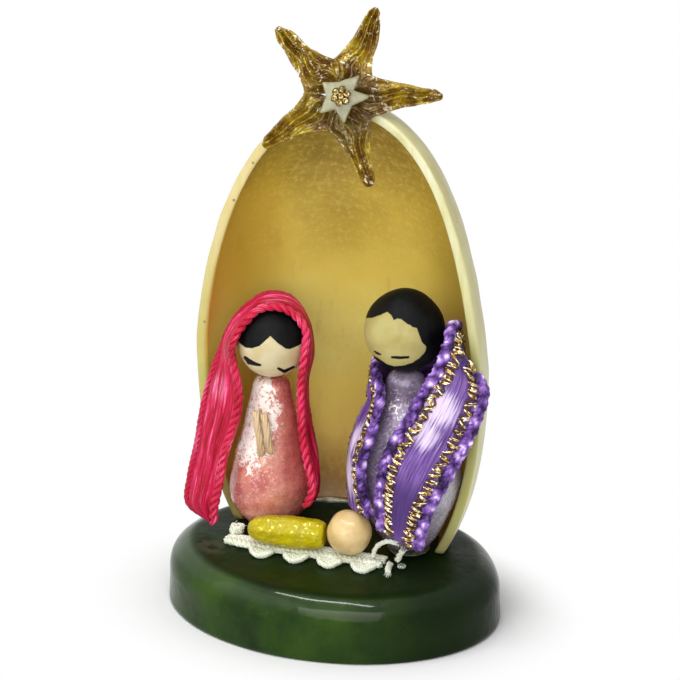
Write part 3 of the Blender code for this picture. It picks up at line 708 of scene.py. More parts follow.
def headFinish(name, skin, blush, hair):
    bead = Finish(name, skin, 0.35, coat=0.25, Coat_Roughness=0.15, Specular_IOR_Level=0.12)
    paint = bead.node("Attribute", {"attribute_name": "paint"}, output="Fac")
    ragged = paint + (bead.cloud(0.12, 3.0, 0.6) - 0.5) * 0.03
    mask = bead.step(ragged, -0.012, 0.012)
    tint = bead.ramp(bead.cloud(0.9, 4.0, 0.55), [(0.32, blush), (0.6, skin)])
    bristle = bead.cloud(0.25, 4.0, 0.6, bead.scaled((1.0, 1.0, 0.35)))
    dark = bead.ramp(bristle, [(0.35, hair), (0.75, (16, 18, 20))])
    height = bead.cloud(0.5, 3.0, 0.5) * 0.4 + mask * 0.3 + bristle * mask * 0.3
    bead.dress(bead.blend(mask, tint, dark), mask * 0.2 + bristle * 0.12 + 0.26,
               bead.bump(height, 0.35, 0.05))
    bead.set("Coat Weight", 0.2 - mask * 0.2)
    return bead


def makeHead(name, figure, paintAt, finish, node):
    head = Vector(figure["head"])
    radius = figure["headRadius"]

    def shape(way):
        grow = radius + figure["peak"] * max(way.z, 0.0) ** 12
        return way * (grow + 0.012 * (wave(way, 0.5, 4.0) - 1.0) * radius)

    def marked(place):
        way = place.normalized()
        return paintAt(way.dot(viewRight), way.dot(viewUp), way.dot(viewOut))

    makeBall(name, head, shape, 360, 200, finish, node, marks={"paint": marked})


hairLine = [(-180, -0.35), (-110, 0.0), (-83, 0.08), (-50, -0.174), (-36, -0.197), (-21.6, -0.132),
            (-11.2, 0.02), (-3.2, 0.157), (8.6, -0.045), (21.9, -0.197), (30.4, -0.219),
            (49, -0.11), (69, 0.08), (100, 0.0), (180, -0.35)]
womanEyes = [[(-0.77, -0.46, 0.05), (-0.65, -0.575, 0.082), (-0.5, -0.63, 0.055),
              (-0.35, -0.67, 0.035)],
             [(0.17, -0.765, 0.034), (0.34, -0.845, 0.05), (0.6, -0.715, 0.034)]]


def womanPaint(a, b, c):
    mark = b - spread(degrees(atan2(a, c)), hairLine)
    if c > 0.0:
        for eye in womanEyes:
            mark = max(mark, -strokeGap(a, b, eye))
    return mark


manFace = [(-1.3, 0.25), (-0.95, 0.3), (-0.793, 0.313), (-0.641, 0.357), (-0.427, 0.443),
           (-0.34, 0.378), (-0.277, 0.248), (-0.18, 0.29), (-0.082, 0.27), (0.0, 0.2),
           (0.046, 0.161), (0.12, 0.13), (0.176, 0.089), (0.284, 0.055), (0.347, -0.118),
           (0.412, -0.289), (0.52, -0.398), (0.511, -0.482), (0.477, -0.547), (0.347, -0.677),
           (0.176, -0.783), (-0.039, -0.848), (-0.255, -0.872), (-0.427, -0.825),
           (-0.6, -0.71), (-0.75, -0.62), (-1.3, -0.62)]
manEyes = [[(-0.31, -0.655, 0.034), (-0.12, -0.665, 0.036), (0.08, -0.655, 0.03)],
           [(-0.74, -0.51, 0.02), (-0.66, -0.56, 0.032), (-0.6, -0.58, 0.02)]]


def manPaint(a, b, c):
    if c <= 0.0:
        return max(a + 0.8, b - 0.25, -0.5 - b)
    gap = strokeGap(a, b, [pair + (0.0,) for pair in manFace + manFace[:1]])
    within = False
    for (x1, y1), (x2, y2) in zip(manFace, manFace[1:] + manFace[:1]):
        if (y1 > b) != (y2 > b) and a < x1 + (b - y1) * (x2 - x1) / (y2 - y1):
            within = not within
    mark = -gap if within else gap
    for eye in manEyes:
        mark = max(mark, -strokeGap(a, b, eye))
    return mark


# Each body has a painted highlight on its near chest; the woman's far side is painted darker red
# as painted shade, the man's paler as painted light
pinkPearl = pearlFinish("pinkPearlFinish", (176, 78, 80), (212, 130, 114), (232, 168, 144),
                        (250, 206, 184),
                        {"place": (-3.65, -0.85, 4.35), "reach": 1.95, "strength": 0.5,
                         "far": (172, 74, 82)})
mauvePearl = pearlFinish("mauvePearlFinish", (98, 78, 102), (126, 108, 134), (158, 146, 168),
                         (214, 206, 222),
                         {"place": (2.75, -0.6, 5.25), "reach": 0.8, "strength": 0.3,
                          "far": (222, 219, 226)})
makeBody("womanBody", woman, pinkPearl, "woman_body")
makeBody("manBody", man, mauvePearl, "man_body")
makeHead("womanHead", woman, womanPaint,
         headFinish("creamBeadFinish", (208, 196, 158), (196, 176, 128), (5, 6, 6)),
         "woman_head")
makeHead("manHead", man, manPaint,
         headFinish("tanBeadFinish", (182, 170, 108), (168, 152, 90), (4, 5, 5)),
         "man_head")
print("bodies and heads made")


def makeGlueFinish(name, deep, pale):
    glue = Finish(name, pale, 0.2, coat=0.4, Coat_Roughness=0.08)
    fine = glue.cloud(0.25, 4.0, 0.6)
    glue.dress(glue.ramp(fine, [(0.35, deep), (0.65, pale)]), fine * 0.2 + 0.12,
               glue.bump(fine, 0.4, 0.06))
    return glue


glueFinish = makeGlueFinish("dryGlueFinish", (150, 156, 128), (214, 216, 200))


def makePad(name, figure, node):
    foot = Vector(figure["foot"] + (shell["foot"],))
    radius = figure["bodyRadius"] * figure["outline"][-1][1] - 0.04

    def shape(way):
        flat = hypot(way.x, way.y)
        bulge = flat ** 0.5 * (1.0 + 0.03 * wave(way, 0.4, 6.0) - 0.03)
        return ringSpot((radius + 0.075) * bulge, atan2(way.y, way.x),
                        0.075 * way.z + 0.075)

    makeBall(name, foot, shape, 72, 16, padFinish, node)


padFinish = makeGlueFinish("padGlueFinish", (48, 58, 38), (112, 112, 90))
makePad("womanGluePad", woman, "woman_glue_pad")
makePad("manGluePad", man, "man_glue_pad")
print("glue pads made")


# Veil: one ribbon of pink floss over the head, a twisted cord along each edge
veil = {"thickness": 0.13, "cordRadius": 0.19, "pitch": 0.78, "bulge": 0.085, "ribs": 7,
        "hoodTurn": 22.0, "hoodTilt": 25.0, "hoodForward": 1.0}
hoodRight, hoodUp, hoodOut = lookFrom(veil["hoodTurn"], veil["hoodTilt"])


def hood(angle):
    rest = woman["headRadius"] + glueGap + veil["cordRadius"]
    ring = sqrt(rest ** 2 - veil["hoodForward"] ** 2)
    turn = radians(angle)
    return (Vector(woman["head"]) + hoodOut * veil["hoodForward"]
            + (hoodRight * cos(turn) + hoodUp * sin(turn)) * ring)


veilFront = (spots(at, (
    (-5.15, -0.75, 3.3), (-5.1, -0.86, 4.1), (-4.85, -0.92, 5.2), (-4.6, -0.93, 6.7),
    (-4.05, -0.84, 8.6), (-4.1, -0.68, 9.9), (-4.3, -0.72, 10.9), (-4.24, -0.98, 11.7)))
             + [hood(angle) for angle in (158.0, 110.0, 65.0, 20.0, -25.0)]
             + spots(at, ((-1.4, -0.3, 10.1), (-1.23, -0.6, 8.4), (-0.9, -0.92, 7.2),
                          (-0.55, -1.1, 5.9), (-0.85, -1.1, 5.0))))
veilBack = spots(at, (
    (-5.6, -0.35, 3.3), (-6.48, -0.35, 3.85), (-6.4, -0.34, 5.1), (-6.1, -0.25, 6.7),
    (-5.88, 0.0, 8.5), (-5.62, 0.45, 9.9), (-5.38, 1.1, 11.0), (-5.15, 1.45, 11.7),
    (-4.7, 1.8, 12.3), (-3.9, 2.2, 12.85), (-2.9, 2.4, 12.7), (-2.15, 2.2, 11.85),
    (-1.84, 1.75, 10.8), (-2.0, 1.58, 9.6), (-1.67, 1.23, 7.9), (-1.3, 1.0, 6.6),
    (-1.19, 0.88, 5.6), (-1.17, 0.86, 4.9)))


def stripPoint(strip, along, across):
    inner, outer, inset, bulge = strip
    near, far = guideAt(inner, along), guideAt(outer, along)
    nearRun = (guideAt(inner, along + 0.01) - guideAt(inner, along - 0.01)).normalized()
    farRun = (guideAt(outer, along + 0.01) - guideAt(outer, along - 0.01)).normalized()
    step = (far - near).normalized()
    start = near + step * inset / step.cross(nearRun).length
    end = far - step * inset / step.cross(farRun).length
    face = (nearRun + farRun).cross(step).normalized()
    swell = bulge * (end - start).length * sin(pi * clamp(across))
    return start.lerp(end, across) + face * swell, face, (end - start).length


def makeRibbon(name, strip, thickness, relief, rows, columns, finish, node):
    body = Shape()
    lines = []
    for index in range(rows + 1):
        along = index / rows
        front = []
        behind = []
        for column in range(columns + 1):
            across = column / columns
            place, face = stripPoint(strip, along, across)[:2]
            edge = min(across, 1.0 - across)
            thick = thickness * 0.5 * min(edge / 0.04, 1.0) ** 0.5 + 0.005
            high = relief(across, place)
            front.append(place + face * (thick + high))
            behind.append(place - face * (thick - high * 0.8))
        lines.append(front + behind[::-1])
    body.sheet(lines, runs=runsOf([line[columns // 2] for line in lines]))
    for first, back in ((0, False), (rows * (2 * columns + 2), True)):
        for column in range(columns):
            last = first + 2 * columns + 1 - column
            corners = [first + column, last, last - 1, first + column + 1]
            body.face(corners[::-1] if back else corners, [(column / columns * 0.5, 0.0)] * 4)
    body.build(name, [finish], node)


def flossFinish(name, base, fibres, slant, sheen, tintAt):
    floss = Finish(name, base, 0.4, Sheen_Weight=sheen, Sheen_Roughness=0.4,
                   Specular_IOR_Level=0.22)
    fibre = floss.cloud(1000.0, 4.0, 0.65, floss.flat(fibres, 0.55, slant))
    broad = floss.cloud(1000.0, 3.0, 0.5, floss.flat(fibres * 0.16, 0.35, slant * 0.16))
    floss.dress(tintAt(floss, fibre, broad), 0.46 - fibre * 0.22,
                floss.bump(fibre, 0.55, 0.05, floss.bump(broad, 0.4, 0.08)))
    return floss


def gleamAt(finish, under, fibre, places, tint):  # painted highlights and painted shade: a tint laid at given places on a finish
    for place, reach, strength in places:
        near = finish.near(place, 0.2, reach) * strength
        under = finish.blend(finish.step(fibre + near, 0.72, 1.1) * 0.8, under, tint)
    return under


def spun(deep, mid, pale, gleam, bright=()):  # a floss with painted glints along its fibres and painted highlights at given places
    def tintAt(floss, fibre, broad):
        tint = floss.ramp(fibre * 0.5 + broad * 0.5, [(0.4, deep), (0.5, mid), (0.6, pale)])
        glint = (floss.step(fibre * 0.6 + broad * 0.4, 0.52, 0.64)
                 * floss.step(floss.cloud(0.9, 2.0, 0.5), 0.48, 0.6))
        return gleamAt(floss, floss.blend(glint * 0.75, tint, gleam), fibre, bright, gleam)

    return tintAt


def makeCord(name, guides, radius, pitch, finish, node, plies=2):
    path = evenPath(guides, 0.045)
    offset = radius * 0.46
    body = Shape()
    for ply in range(plies):
        line = twisted(path, offset, pitch, ply / plies, 0.15)
        body.tube(line, radius * 0.58, 12)
    body.build(name, [finish], node)


def veilRelief(across, place):
    rib = cos(2.0 * pi * across * veil["ribs"] + 3.0 * wave(place, 2.5))
    fold = cos(2.0 * pi * across * 2.6 + 2.0 * wave(place, 3.5, 5.0))
    soft = 0.05 * wave(place, 1.4, 2.0)
    return (0.02 * rib + 0.04 * fold + soft) * min(min(across, 1.0 - across) * 8.0, 1.0)


# The veil's bright places are painted highlights on its left fall and on the top of the hood
veilFloss = flossFinish("pinkFlossFinish", (194, 14, 58), 60.0, 0.0, 0.03,
                        spun((140, 4, 24), (194, 14, 58), (222, 40, 104), (255, 150, 194),
                             [((-5.05, -0.35, 9.4), 1.4, 0.36), ((-3.0, 0.6, 13.3), 1.2, 0.3)]))
cordFloss = flossFinish("pinkCordFinish", (208, 28, 68), 12.0, 3.0, 0.05,
                        spun((150, 8, 30), (208, 28, 68), (234, 66, 116), (255, 170, 204)))
makeRibbon("veilRibbon", (veilFront, veilBack, 0.1, veil["bulge"]), veil["thickness"],
           veilRelief, 420, 42, veilFloss, "veil_ribbon")
makeCord("veilFrontCord", veilFront, veil["cordRadius"], veil["pitch"], cordFloss,
         "veil_front_cord")
makeCord("veilBackCord", veilBack, veil["cordRadius"] * 0.75, veil["pitch"] * 1.4, veilFloss,
         "veil_back_cord", 4)
print("veil made")


# Hands: two cut ends of tan yarn laid side by side
def beforeWoman(x, standOff, height):
    return Vector((x, woman["foot"][1] - woman["bodyRadius"] - standOff, height))


def makeHand(name, guides, radius, finish, node):
    path = evenPath(guides, 0.04)
    body = Shape()
    for ply in range(5):
        swell = [1.0 + 0.12 * wave(place, 0.3, ply * 3.0) for place in path]
        line = twisted(path, radius * 0.5, 2.6, ply / 5.0, 0.3)
        body.tube(line, radius * 0.48, 9, swell)
    body.build(name, [finish], node)


tanYarn = flossFinish("tanYarnFinish", (206, 176, 134), 10.0, 2.0, 0.05,
                      spun((150, 116, 78), (206, 176, 134), (226, 202, 160), (246, 230, 200)))
makeHand("womanHandLeft", spots(beforeWoman, (
    (-3.26, -0.27, 8.8), (-3.12, -0.12, 8.1), (-3.0, -0.01, 7.5), (-2.9, 0.07, 6.95))),
         0.165, tanYarn, "woman_hand_left")
makeHand("womanHandRight", spots(beforeWoman, (
    (-2.88, -0.23, 8.75), (-2.74, -0.15, 8.1), (-2.62, -0.09, 7.55), (-2.48, -0.07, 7.1))),
         0.165, tanYarn, "woman_hand_right")
print("hands made")


# Shawl: one purple satin ribbon round the man's neck, a plait along each edge, gold stitches
shawl = {"thickness": 0.13, "braidRadius": 0.32, "pitch": 0.56, "bulge": 0.14, "inset": 0.2,
         "stitchLength": 0.32, "plaitSteps": 900}
manSide, manDepth = man["bodyRadius"], man["bodyDepth"]
manTurn = radians(shot["azimuth"])
manFront = hypot(manSide * sin(manTurn), manDepth * cos(manTurn))


def besideMan(angle, standOff, height):
    foot, top = axisOf(man)
    middle = foot.lerp(top, (height - foot.z) / (top.z - foot.z))
    turn = radians(angle)
    across = turn - manTurn
    radius = standOff + manSide * manDepth / hypot(manDepth * cos(across), manSide * sin(across))
    return Vector((middle.x + radius * cos(turn), middle.y + radius * sin(turn), height))


def beforeMan(x, standOff, height):
    return Vector((x, man["foot"][1] - manFront - standOff, height))


shawlInner = (
    spots(besideMan, ((-108.0, 0.42, 5.35), (-115.0, 0.45, 6.3), (-117.0, 0.4, 7.6),
                      (-112.0, 0.05, 8.8), (-112.0, -0.42, 9.9)))
    + spots(at, ((2.2, -0.35, 10.55), (1.75, 0.25, 10.95), (1.42, 1.3, 11.1), (1.7, 2.15, 11.25),
                 (2.7, 2.85, 11.7), (4.1, 2.65, 12.4), (4.88, 1.6, 13.1), (5.02, 0.75, 13.5),
                 (5.15, 0.1, 13.45), (5.2, -0.3, 13.05)))
    + spots(beforeMan, ((4.95, -0.63, 12.1), (4.45, -0.23, 11.1), (3.9, 0.12, 9.9),
                        (3.26, 0.34, 8.7), (2.95, 0.47, 7.7), (2.85, 0.54, 6.9),
                        (2.83, 0.6, 6.1), (2.93, 0.64, 5.0))))
shawlOuter = (
    spots(besideMan, ((175.0, 0.42, 4.8), (171.0, 0.47, 6.5), (166.0, 0.42, 7.5),
                      (160.0, 0.17, 8.5), (152.0, -0.1, 9.2)))
    + spots(at, ((1.05, 1.6, 9.42), (1.1, 1.9, 9.55), (1.25, 2.3, 9.6), (1.75, 2.9, 9.65),
                 (2.75, 3.35, 9.8), (4.2, 2.9, 10.3), (4.95, 1.6, 11.0), (5.3, 0.65, 11.35),
                 (5.75, 0.1, 11.5), (6.4, -0.05, 11.75), (6.8, -0.25, 11.2)))
    + spots(beforeMan, ((6.65, -0.6, 10.15), (6.3, -0.22, 9.1), (5.85, 0.1, 8.1),
                        (5.4, 0.37, 7.1), (4.95, 0.55, 6.1), (4.7, 0.6, 5.2),
                        (4.5, 0.64, 4.35))))
shawlStrip = (shawlInner, shawlOuter, shawl["inset"], shawl["bulge"])


def makePlait(name, guides, farSide, finish, node):
    frames = []
    for index in range(shawl["plaitSteps"] + 1):
        along = index / shawl["plaitSteps"]
        place = guideAt(guides, along)
        face = stripPoint(shawlStrip, along, 1.0 if farSide else 0.0)[1]
        run = (guideAt(guides, along + 0.002) - guideAt(guides, along - 0.002)).normalized()
        face = (face - run * face.dot(run)).normalized()
        frames.append((place, run.cross(face), face))
    runs = runsOf([place for place, side, face in frames])
    radius = shawl["braidRadius"]
    body = Shape()
    for strand in range(3):
        line = []
        swell = []
        for (place, side, face), reach in zip(frames, runs):
            turn = 2.0 * pi * (reach / (3.0 * shawl["pitch"]) + strand / 3.0)
            line.append(place + side * radius * 0.52 * sin(turn)
                        + face * radius * 0.3 * sin(2.0 * turn))
            swell.append(1.0 + 0.24 * cos(2.0 * turn) + 0.14 * wave(place, 0.4, strand * 4.0))
        for ply in range(2):
            thread = twisted(line, radius * 0.13, 0.5, ply / 2.0 + strand / 7.0, 0.3)
            body.tube(thread, radius * 0.34, 8, swell)
    body.build(name, [finish], node)


def makeStitches(name, farSide, finishes, node):
    length = runsOf([guideAt(shawlInner, index / 500) for index in range(501)])[-1]
    count = 2 * int(length / shawl["pitch"])
    body = Shape()

    def onCloth(along, reach, lift):
        place, face, wide = stripPoint(shawlStrip, along, 0.0)
        share = min(reach / wide, 0.42)
        place, face, wide = stripPoint(shawlStrip, along, 1.0 - share if farSide else share)
        return place + face * (shawl["thickness"] * 0.5 + lift)

    # A dark couching thread zigzags beside the braid, short gold bars cross it at each turn
    line = [onCloth((index + 0.5) / count, 0.2 + 0.2 * (index % 2) + 0.05 * sin(3.0 * index),
                    0.05) for index in range(count)]
    body.tube(evenPath(line, 0.04), 0.05, 8, paint=1)
    for index in range(count):
        along = (index + 0.5) / count
        tilt = 0.32 * sin(2.7 * index) / count
        for part in range(3):
            shift = (part - 1.0) * 0.2 / count
            near = 0.02 + 0.06 * sin(5.1 * index + part)
            far = shawl["stitchLength"] + 0.1 + 0.08 * sin(3.7 * index + 2.0 * part)
            bar = [onCloth(along + shift - tilt, near, 0.04),
                   onCloth(along + shift, (near + far) * 0.5, 0.12 + 0.03 * sin(4.3 * index)),
                   onCloth(along + shift + tilt, far, 0.04)]
            path = evenPath(bar, 0.04)
            body.tube(path, 0.042, 6, flatten=0.6, paint=0 if (index + part) % 4 else 1)
        if index % 2:
            knot = onCloth(along, 0.12 + 0.1 * sin(2.1 * index), 0.13)
            body.ball(knot, lambda way: way * 0.075 * (1.0 + 0.2 * wave(way, 0.5)), 12, 8)
    body.build(name, finishes, node)


def satinRelief(across, place):
    fold = cos(2.0 * pi * (across * 4.5 + 0.25 * wave(place, 3.0)))
    soft = 0.045 * wave(place, 1.2, 8.0)
    return (0.018 * fold + soft) * min(min(across, 1.0 - across) * 7.0, 1.0)


def satinTint(satin, fibre, broad):  # painted highlights where it turns to the light, painted shade behind the neck and low in front
    tint = satin.ramp(fibre, [(0.36, (74, 44, 110)), (0.5, (114, 80, 152)),
                              (0.64, (152, 118, 190))])
    pale = [((5.25, -1.4, 10.7), 1.6, 0.58), ((4.75, -1.6, 9.5), 1.3, 0.5),
            ((1.3, -0.5, 6.6), 1.9, 0.62), ((1.5, -0.5, 8.2), 1.5, 0.5)]
    dark = [((6.2, 0.2, 12.6), 1.6, 0.9), ((4.9, 1.4, 12.4), 2.0, 0.9),
            ((3.7, -1.9, 6.1), 2.9, 0.6)]
    tint = gleamAt(satin, tint, fibre, pale, (246, 228, 255))
    return gleamAt(satin, tint, fibre, dark, (58, 32, 94))


def threadTint(thread, fibre, broad):  # a painted highlight on each bobble's crown, painted shade between bobbles
    return thread.ramp(thread.cells(0.46) + (fibre - 0.5) * 0.7,
                       [(0.1, (250, 236, 255)), (0.28, (176, 136, 214)),
                        (0.48, (116, 76, 160)), (0.76, (44, 16, 72))])


satin = flossFinish("purpleSatinFinish", (124, 88, 160), 60.0, 0.0, 0.05, satinTint)
thread = flossFinish("purpleThreadFinish", (122, 80, 164), 4.0, 1.6, 0.1, threadTint)


def metalThread(name, base, rough, metallic, size, stops, strandRough, relief):
    metal = Finish(name, base, rough, metallic=metallic)
    detail, slope, level = strandRough
    strands = metal.cloud(size, 3.0, detail)
    metal.dress(metal.ramp(strands, stops), strands * slope + level,
                metal.bump(strands, relief, 0.03))
    return metal


# Gold thread mottled from dark to pale, its near-white stop a painted glint
goldThreads = [
    metalThread("goldThreadFinish", (188, 149, 89), 0.2, 0.7, 0.16,
                [(0.36, (74, 40, 12)), (0.44, (168, 126, 56)), (0.52, (232, 204, 132)),
                 (0.6, (255, 252, 234))], (0.7, -0.3, 0.4), 0.6),
    metalThread("darkThreadFinish", (63, 39, 25), 0.5, 0.1, 0.15,
                [(0.4, (34, 16, 12)), (0.6, (92, 50, 30))], (0.6, 0.3, 0.3), 0.5)]
makeRibbon("shawlRibbon", shawlStrip, shawl["thickness"], satinRelief, 520, 44, satin,
           "shawl_ribbon")
makePlait("shawlInnerBraid", shawlInner, False, thread, "shawl_inner_braid")
makePlait("shawlOuterBraid", shawlOuter, True, thread, "shawl_outer_braid")
makeStitches("shawlInnerStitches", False, goldThreads, "shawl_inner_stitches")
makeStitches("shawlOuterStitches", True, goldThreads, "shawl_outer_stitches")
print("shawl made")


# Child: a peach bead beside a loaf of glittered green clay
child = {"headRadius": 0.98, "head": (1.1, -1.05, 4.11), "bodyRadius": 0.72, "bodyLength": 3.3,
         "turn": 9.0, "grain": 0.11}


def makeChild():
    head = Vector(child["head"])
    way = radians(child["turn"])
    back = child["headRadius"] + glueGap + child["bodyLength"] * 0.5
    middle = Vector((head.x - back * cos(way), head.y - back * sin(way),
                     head.z - child["headRadius"] + child["bodyRadius"]))

    def loaf(spot):
        blunt = 0.16 if spot.z > 0.0 else 0.5
        around = hypot(spot.x, spot.y)
        spread = around ** blunt if around > tiny else 0.0
        turn = atan2(spot.y, spot.x)
        ridge = 1.0 - 0.035 * (1.0 - cos(7.0 * turn))
        reach = child["bodyRadius"] * spread * ridge * (1.0 - 0.08 * max(-spot.z, 0.0))
        place = Vector((child["bodyLength"] * 0.5 * spot.z, reach * cos(turn),
                        reach * sin(turn)))
        lump = 0.02 * (wave(place, 0.35, 2.0) - 1.0) + 0.014 * (wave(place, 0.12, 5.0) - 1.0)
        return place * (1.0 + lump * min(around * 3.0, 1.0))

    glitter = Finish("greenGlitterFinish", (170, 160, 25), 0.3, coat=0.06, Coat_Roughness=0.1,
                     Specular_IOR_Level=0.25)
    grains = glitter.cells(child["grain"], output="Color")
    pick = glitter.axis(grains, "X")
    lit = glitter.step(pick, 0.88, 0.92)
    tint = glitter.layered(
        glitter.ramp(glitter.cloud(0.9, 3.0, 0.6),
                     [(0.3, (172, 152, 0)), (0.5, (190, 174, 0)), (0.7, (202, 190, 8))]),
        [(glitter.step(pick, 0.3, 0.2) * 0.12, (146, 134, 4)), (lit * 0.5, (238, 234, 120))])
    glitter.dress(tint, 0.34 - lit * 0.2,
                  glitter.bump(glitter.cells(child["grain"]), 0.25, 0.03,
                               glitter.bump(grains, 0.1, 0.02)))
    glitter.set("Metallic", lit * 0.3)
    makeBall("babyBody", middle, loaf, 150, 150, glitter, "baby_body",
             Matrix.Rotation(way, 3, "Z"))

    def bumpy(spot):
        swell = 1.0 - 0.02 * (1.0 - cos(5.0 * spot.x + 3.0 * spot.z))
        return spot * child["headRadius"] * (swell + 0.008 * (wave(spot, 0.3, 5.0) - 1.0))

    peach = Finish("peachBeadFinish", (252, 226, 157), 0.35, coat=0.3, Coat_Roughness=0.12)
    cloudy = peach.cloud(0.8, 4.0, 0.55)
    tint = peach.ramp(cloudy, [(0.32, (214, 180, 114)), (0.6, (234, 204, 144))])
    peach.dress(peach.blend((peach.cells(0.4) < 0.09) * 0.5, tint, (226, 178, 110)),
                cloudy * 0.2 + 0.26, peach.bump(peach.cloud(0.3, 3.0, 0.5), 0.3, 0.05))
    makeBall("babyHead", head, bumpy, 160, 100, peach, "baby_head")


makeChild()
print("child made")


# Crocheted cotton lace under the child, and the loose yarn at its end
lace = {"left": (-4.4, -1.4, 2.99), "turn": 3.0, "header": 0.95, "reach": 0.6, "pitch": 1.5,
        "scallops": 4, "tail": 1.1, "yarn": 0.13}
laceWay = radians(lace["turn"])
laceLength = lace["tail"] + lace["pitch"] * lace["scallops"]


def onLace(along, across, lift=0.0):
    return Vector(lace["left"]) + Vector((along * cos(laceWay) - across * sin(laceWay),
                                          along * sin(laceWay) + across * cos(laceWay),
                                          lift))


def pastLace(x, y, height):
    end = onLace(laceLength, 0.0)
    return Vector((end.x + x, end.y + y, height))


def spin(body, guides, radius, plies=3, pitch=0.55, loose=0.25):  # a yarn of twisted plies
    path = evenPath(guides, 0.04)
    for ply in range(plies):
        line = twisted(path, radius * 0.52, pitch, ply / plies, loose)
        swell = [1.0 + 0.15 * wave(place, 0.25, ply * 5.0) for place in line]
        body.tube(line, radius * 0.55, 8, swell)


def fuzz(body, guides, radius, count, reach, seed):  # stray fibres that stand off a yarn
    path = evenPath(guides, 0.03)
    for index in range(count):
        place = path[int((index + 0.5) / count * (len(path) - 1))]
        turn = 2.4 * index + seed
        out = ringSpot(1.0, turn, 0.35 + 0.5 * sin(1.7 * index)).normalized()
        drift = Vector((sin(3.1 * index + seed), cos(2.3 * index), 0.2)) * 0.4
        first = place + out * radius * 0.6
        body.tube(evenPath([first, first + out * reach * 0.5 + drift * reach * 0.3,
                            first + (out + drift) * reach * 0.8], 0.03), 0.012, 5)


def makeLace(cotton):
    body = Shape()
    half = lace["header"] * 0.5
    # Header: five strands plaited flat
    for strand in range(5):
        guides = []
        for step in range(90):
            share = step / 89
            turn = 2.0 * pi * (share * 6.5 + strand / 5.0)
            squeeze = 1.0 - 0.45 * max(1.0 - share * laceLength / lace["tail"], 0.0)
            guides.append(onLace(0.08 + share * (laceLength - 0.16),
                                 (half - 0.1) * sin(turn) * squeeze,
                                 0.05 * sin(2.0 * turn)))
        spin(body, guides, 0.11, 3, 0.42)
    for edge in (-1.0, 1.0):
        guides = [onLace(0.1 + (laceLength - 0.2) * step / 24,
                         edge * (half - 0.03) * (0.6 + 0.4 * min(step / 4, 1.0))
                         + 0.04 * sin(2.0 * step), 0.0) for step in range(25)]
        spin(body, guides, 0.075, 2, 0.4)
    # Scallops: three arches of yarn each, tied to the header by short stitches
    for index in range(lace["scallops"]):
        start = lace["tail"] + lace["pitch"] * index
        for part, thick in ((1.0, 0.125), (0.6, 0.1), (0.25, 0.1)):
            guides = []
            for step in range(17):
                share = step / 16
                room = lace["reach"] * part * sin(pi * share) ** 0.7
                side = 0.5 + (share - 0.5) * (0.32 + 0.36 * part)
                guides.append(onLace(start + lace["pitch"] * (0.04 + 0.92 * side),
                                     -half - 0.02 - room, 0.03 * sin(7.0 * share)))
            spin(body, guides, thick, 3, 0.38)
        for share in (0.22, 0.32, 0.68, 0.78):
            room = lace["reach"] * sin(pi * share) ** 0.7
            foot = start + lace["pitch"] * (0.04 + 0.92 * share)
            spin(body, [onLace(foot, -half + 0.05, 0.02),
                        onLace(foot + 0.02, -half - room * 0.5, 0.07),
                        onLace(foot, -half - room, 0.02)], 0.055, 2, 0.3)
        crown = onLace(start + lace["pitch"] * 0.5, -half - lace["reach"] * 0.98)
        fuzz(body, [crown, crown + Vector((0.3, 0.05, 0.0))], 0.1, 5, 0.14, index * 1.3)
    # Knot at the left end
    knot = Vector((-4.12, -0.72, 3.2))
    loops = [knot + Vector((0.2 * sin(turn), 0.17 * sin(1.7 * turn + 0.6),
                            0.15 * cos(2.3 * turn)))
             for turn in (0.55 * step for step in range(34))]
    spin(body, [onLace(0.2, 0.3)] + loops, 0.09, 3, 0.4)
    fuzz(body, loops, 0.1, 14, 0.18, 0.4)
    body.build("laceEdging", [cotton], "lace_edging")


def makeYarn(name, guides, radius, cotton, node, frayed):
    body = Shape()
    spin(body, guides, radius, 3, 0.6)
    last = guides[-1]
    run = (guides[-1] - guides[-2]).normalized()
    side = run.orthogonal().normalized()
    for index in range(frayed):
        turn = 2.4 * index
        out = side * cos(turn) + run.cross(side) * sin(turn)
        first = last - run * 0.12 + out * radius * 0.4 * (0.4 + 0.6 * (index % 3) / 2)
        body.tube(evenPath([first, first + run * 0.16 + out * radius * 0.5,
                            first + run * (0.22 + 0.02 * (index % 4)) + out * radius * 0.9],
                           0.025), 0.014, 5)
    fuzz(body, guides, radius, 10, 0.1, len(name) * 0.7)
    body.build(name, [cotton], node)


cotton = flossFinish("whiteCottonFinish", (240, 244, 224), 8.0, 2.0, 0.2,
                     spun((220, 225, 200), (240, 244, 224), (250, 252, 242), (252, 252, 246)))
makeLace(cotton)
yarnRest = disc["thickness"] + glueGap + lace["yarn"]
makeYarn("yarnEndFront", spots(pastLace, (
    (0.31, -0.19, yarnRest), (0.39, -0.57, yarnRest), (0.57, -1.07, yarnRest))),
         lace["yarn"], cotton, "yarn_end_front", 9)
makeYarn("yarnEndBack", spots(pastLace, (
    (0.49, 0.15, yarnRest + 0.02), (0.59, 0.18, yarnRest + 0.25), (0.71, 0.23, yarnRest + 0.5))),
         lace["yarn"], cotton, "yarn_end_back", 9)
makeYarn("yarnCurl", spots(pastLace, (
    (-0.49, -0.17, 3.26), (-0.24, -0.29, yarnRest + 0.75), (0.23, -0.35, yarnRest + 1.1),
    (0.66, -0.29, yarnRest + 1.05))), 0.1, cotton, "yarn_curl", 6)
print("lace and yarn made")


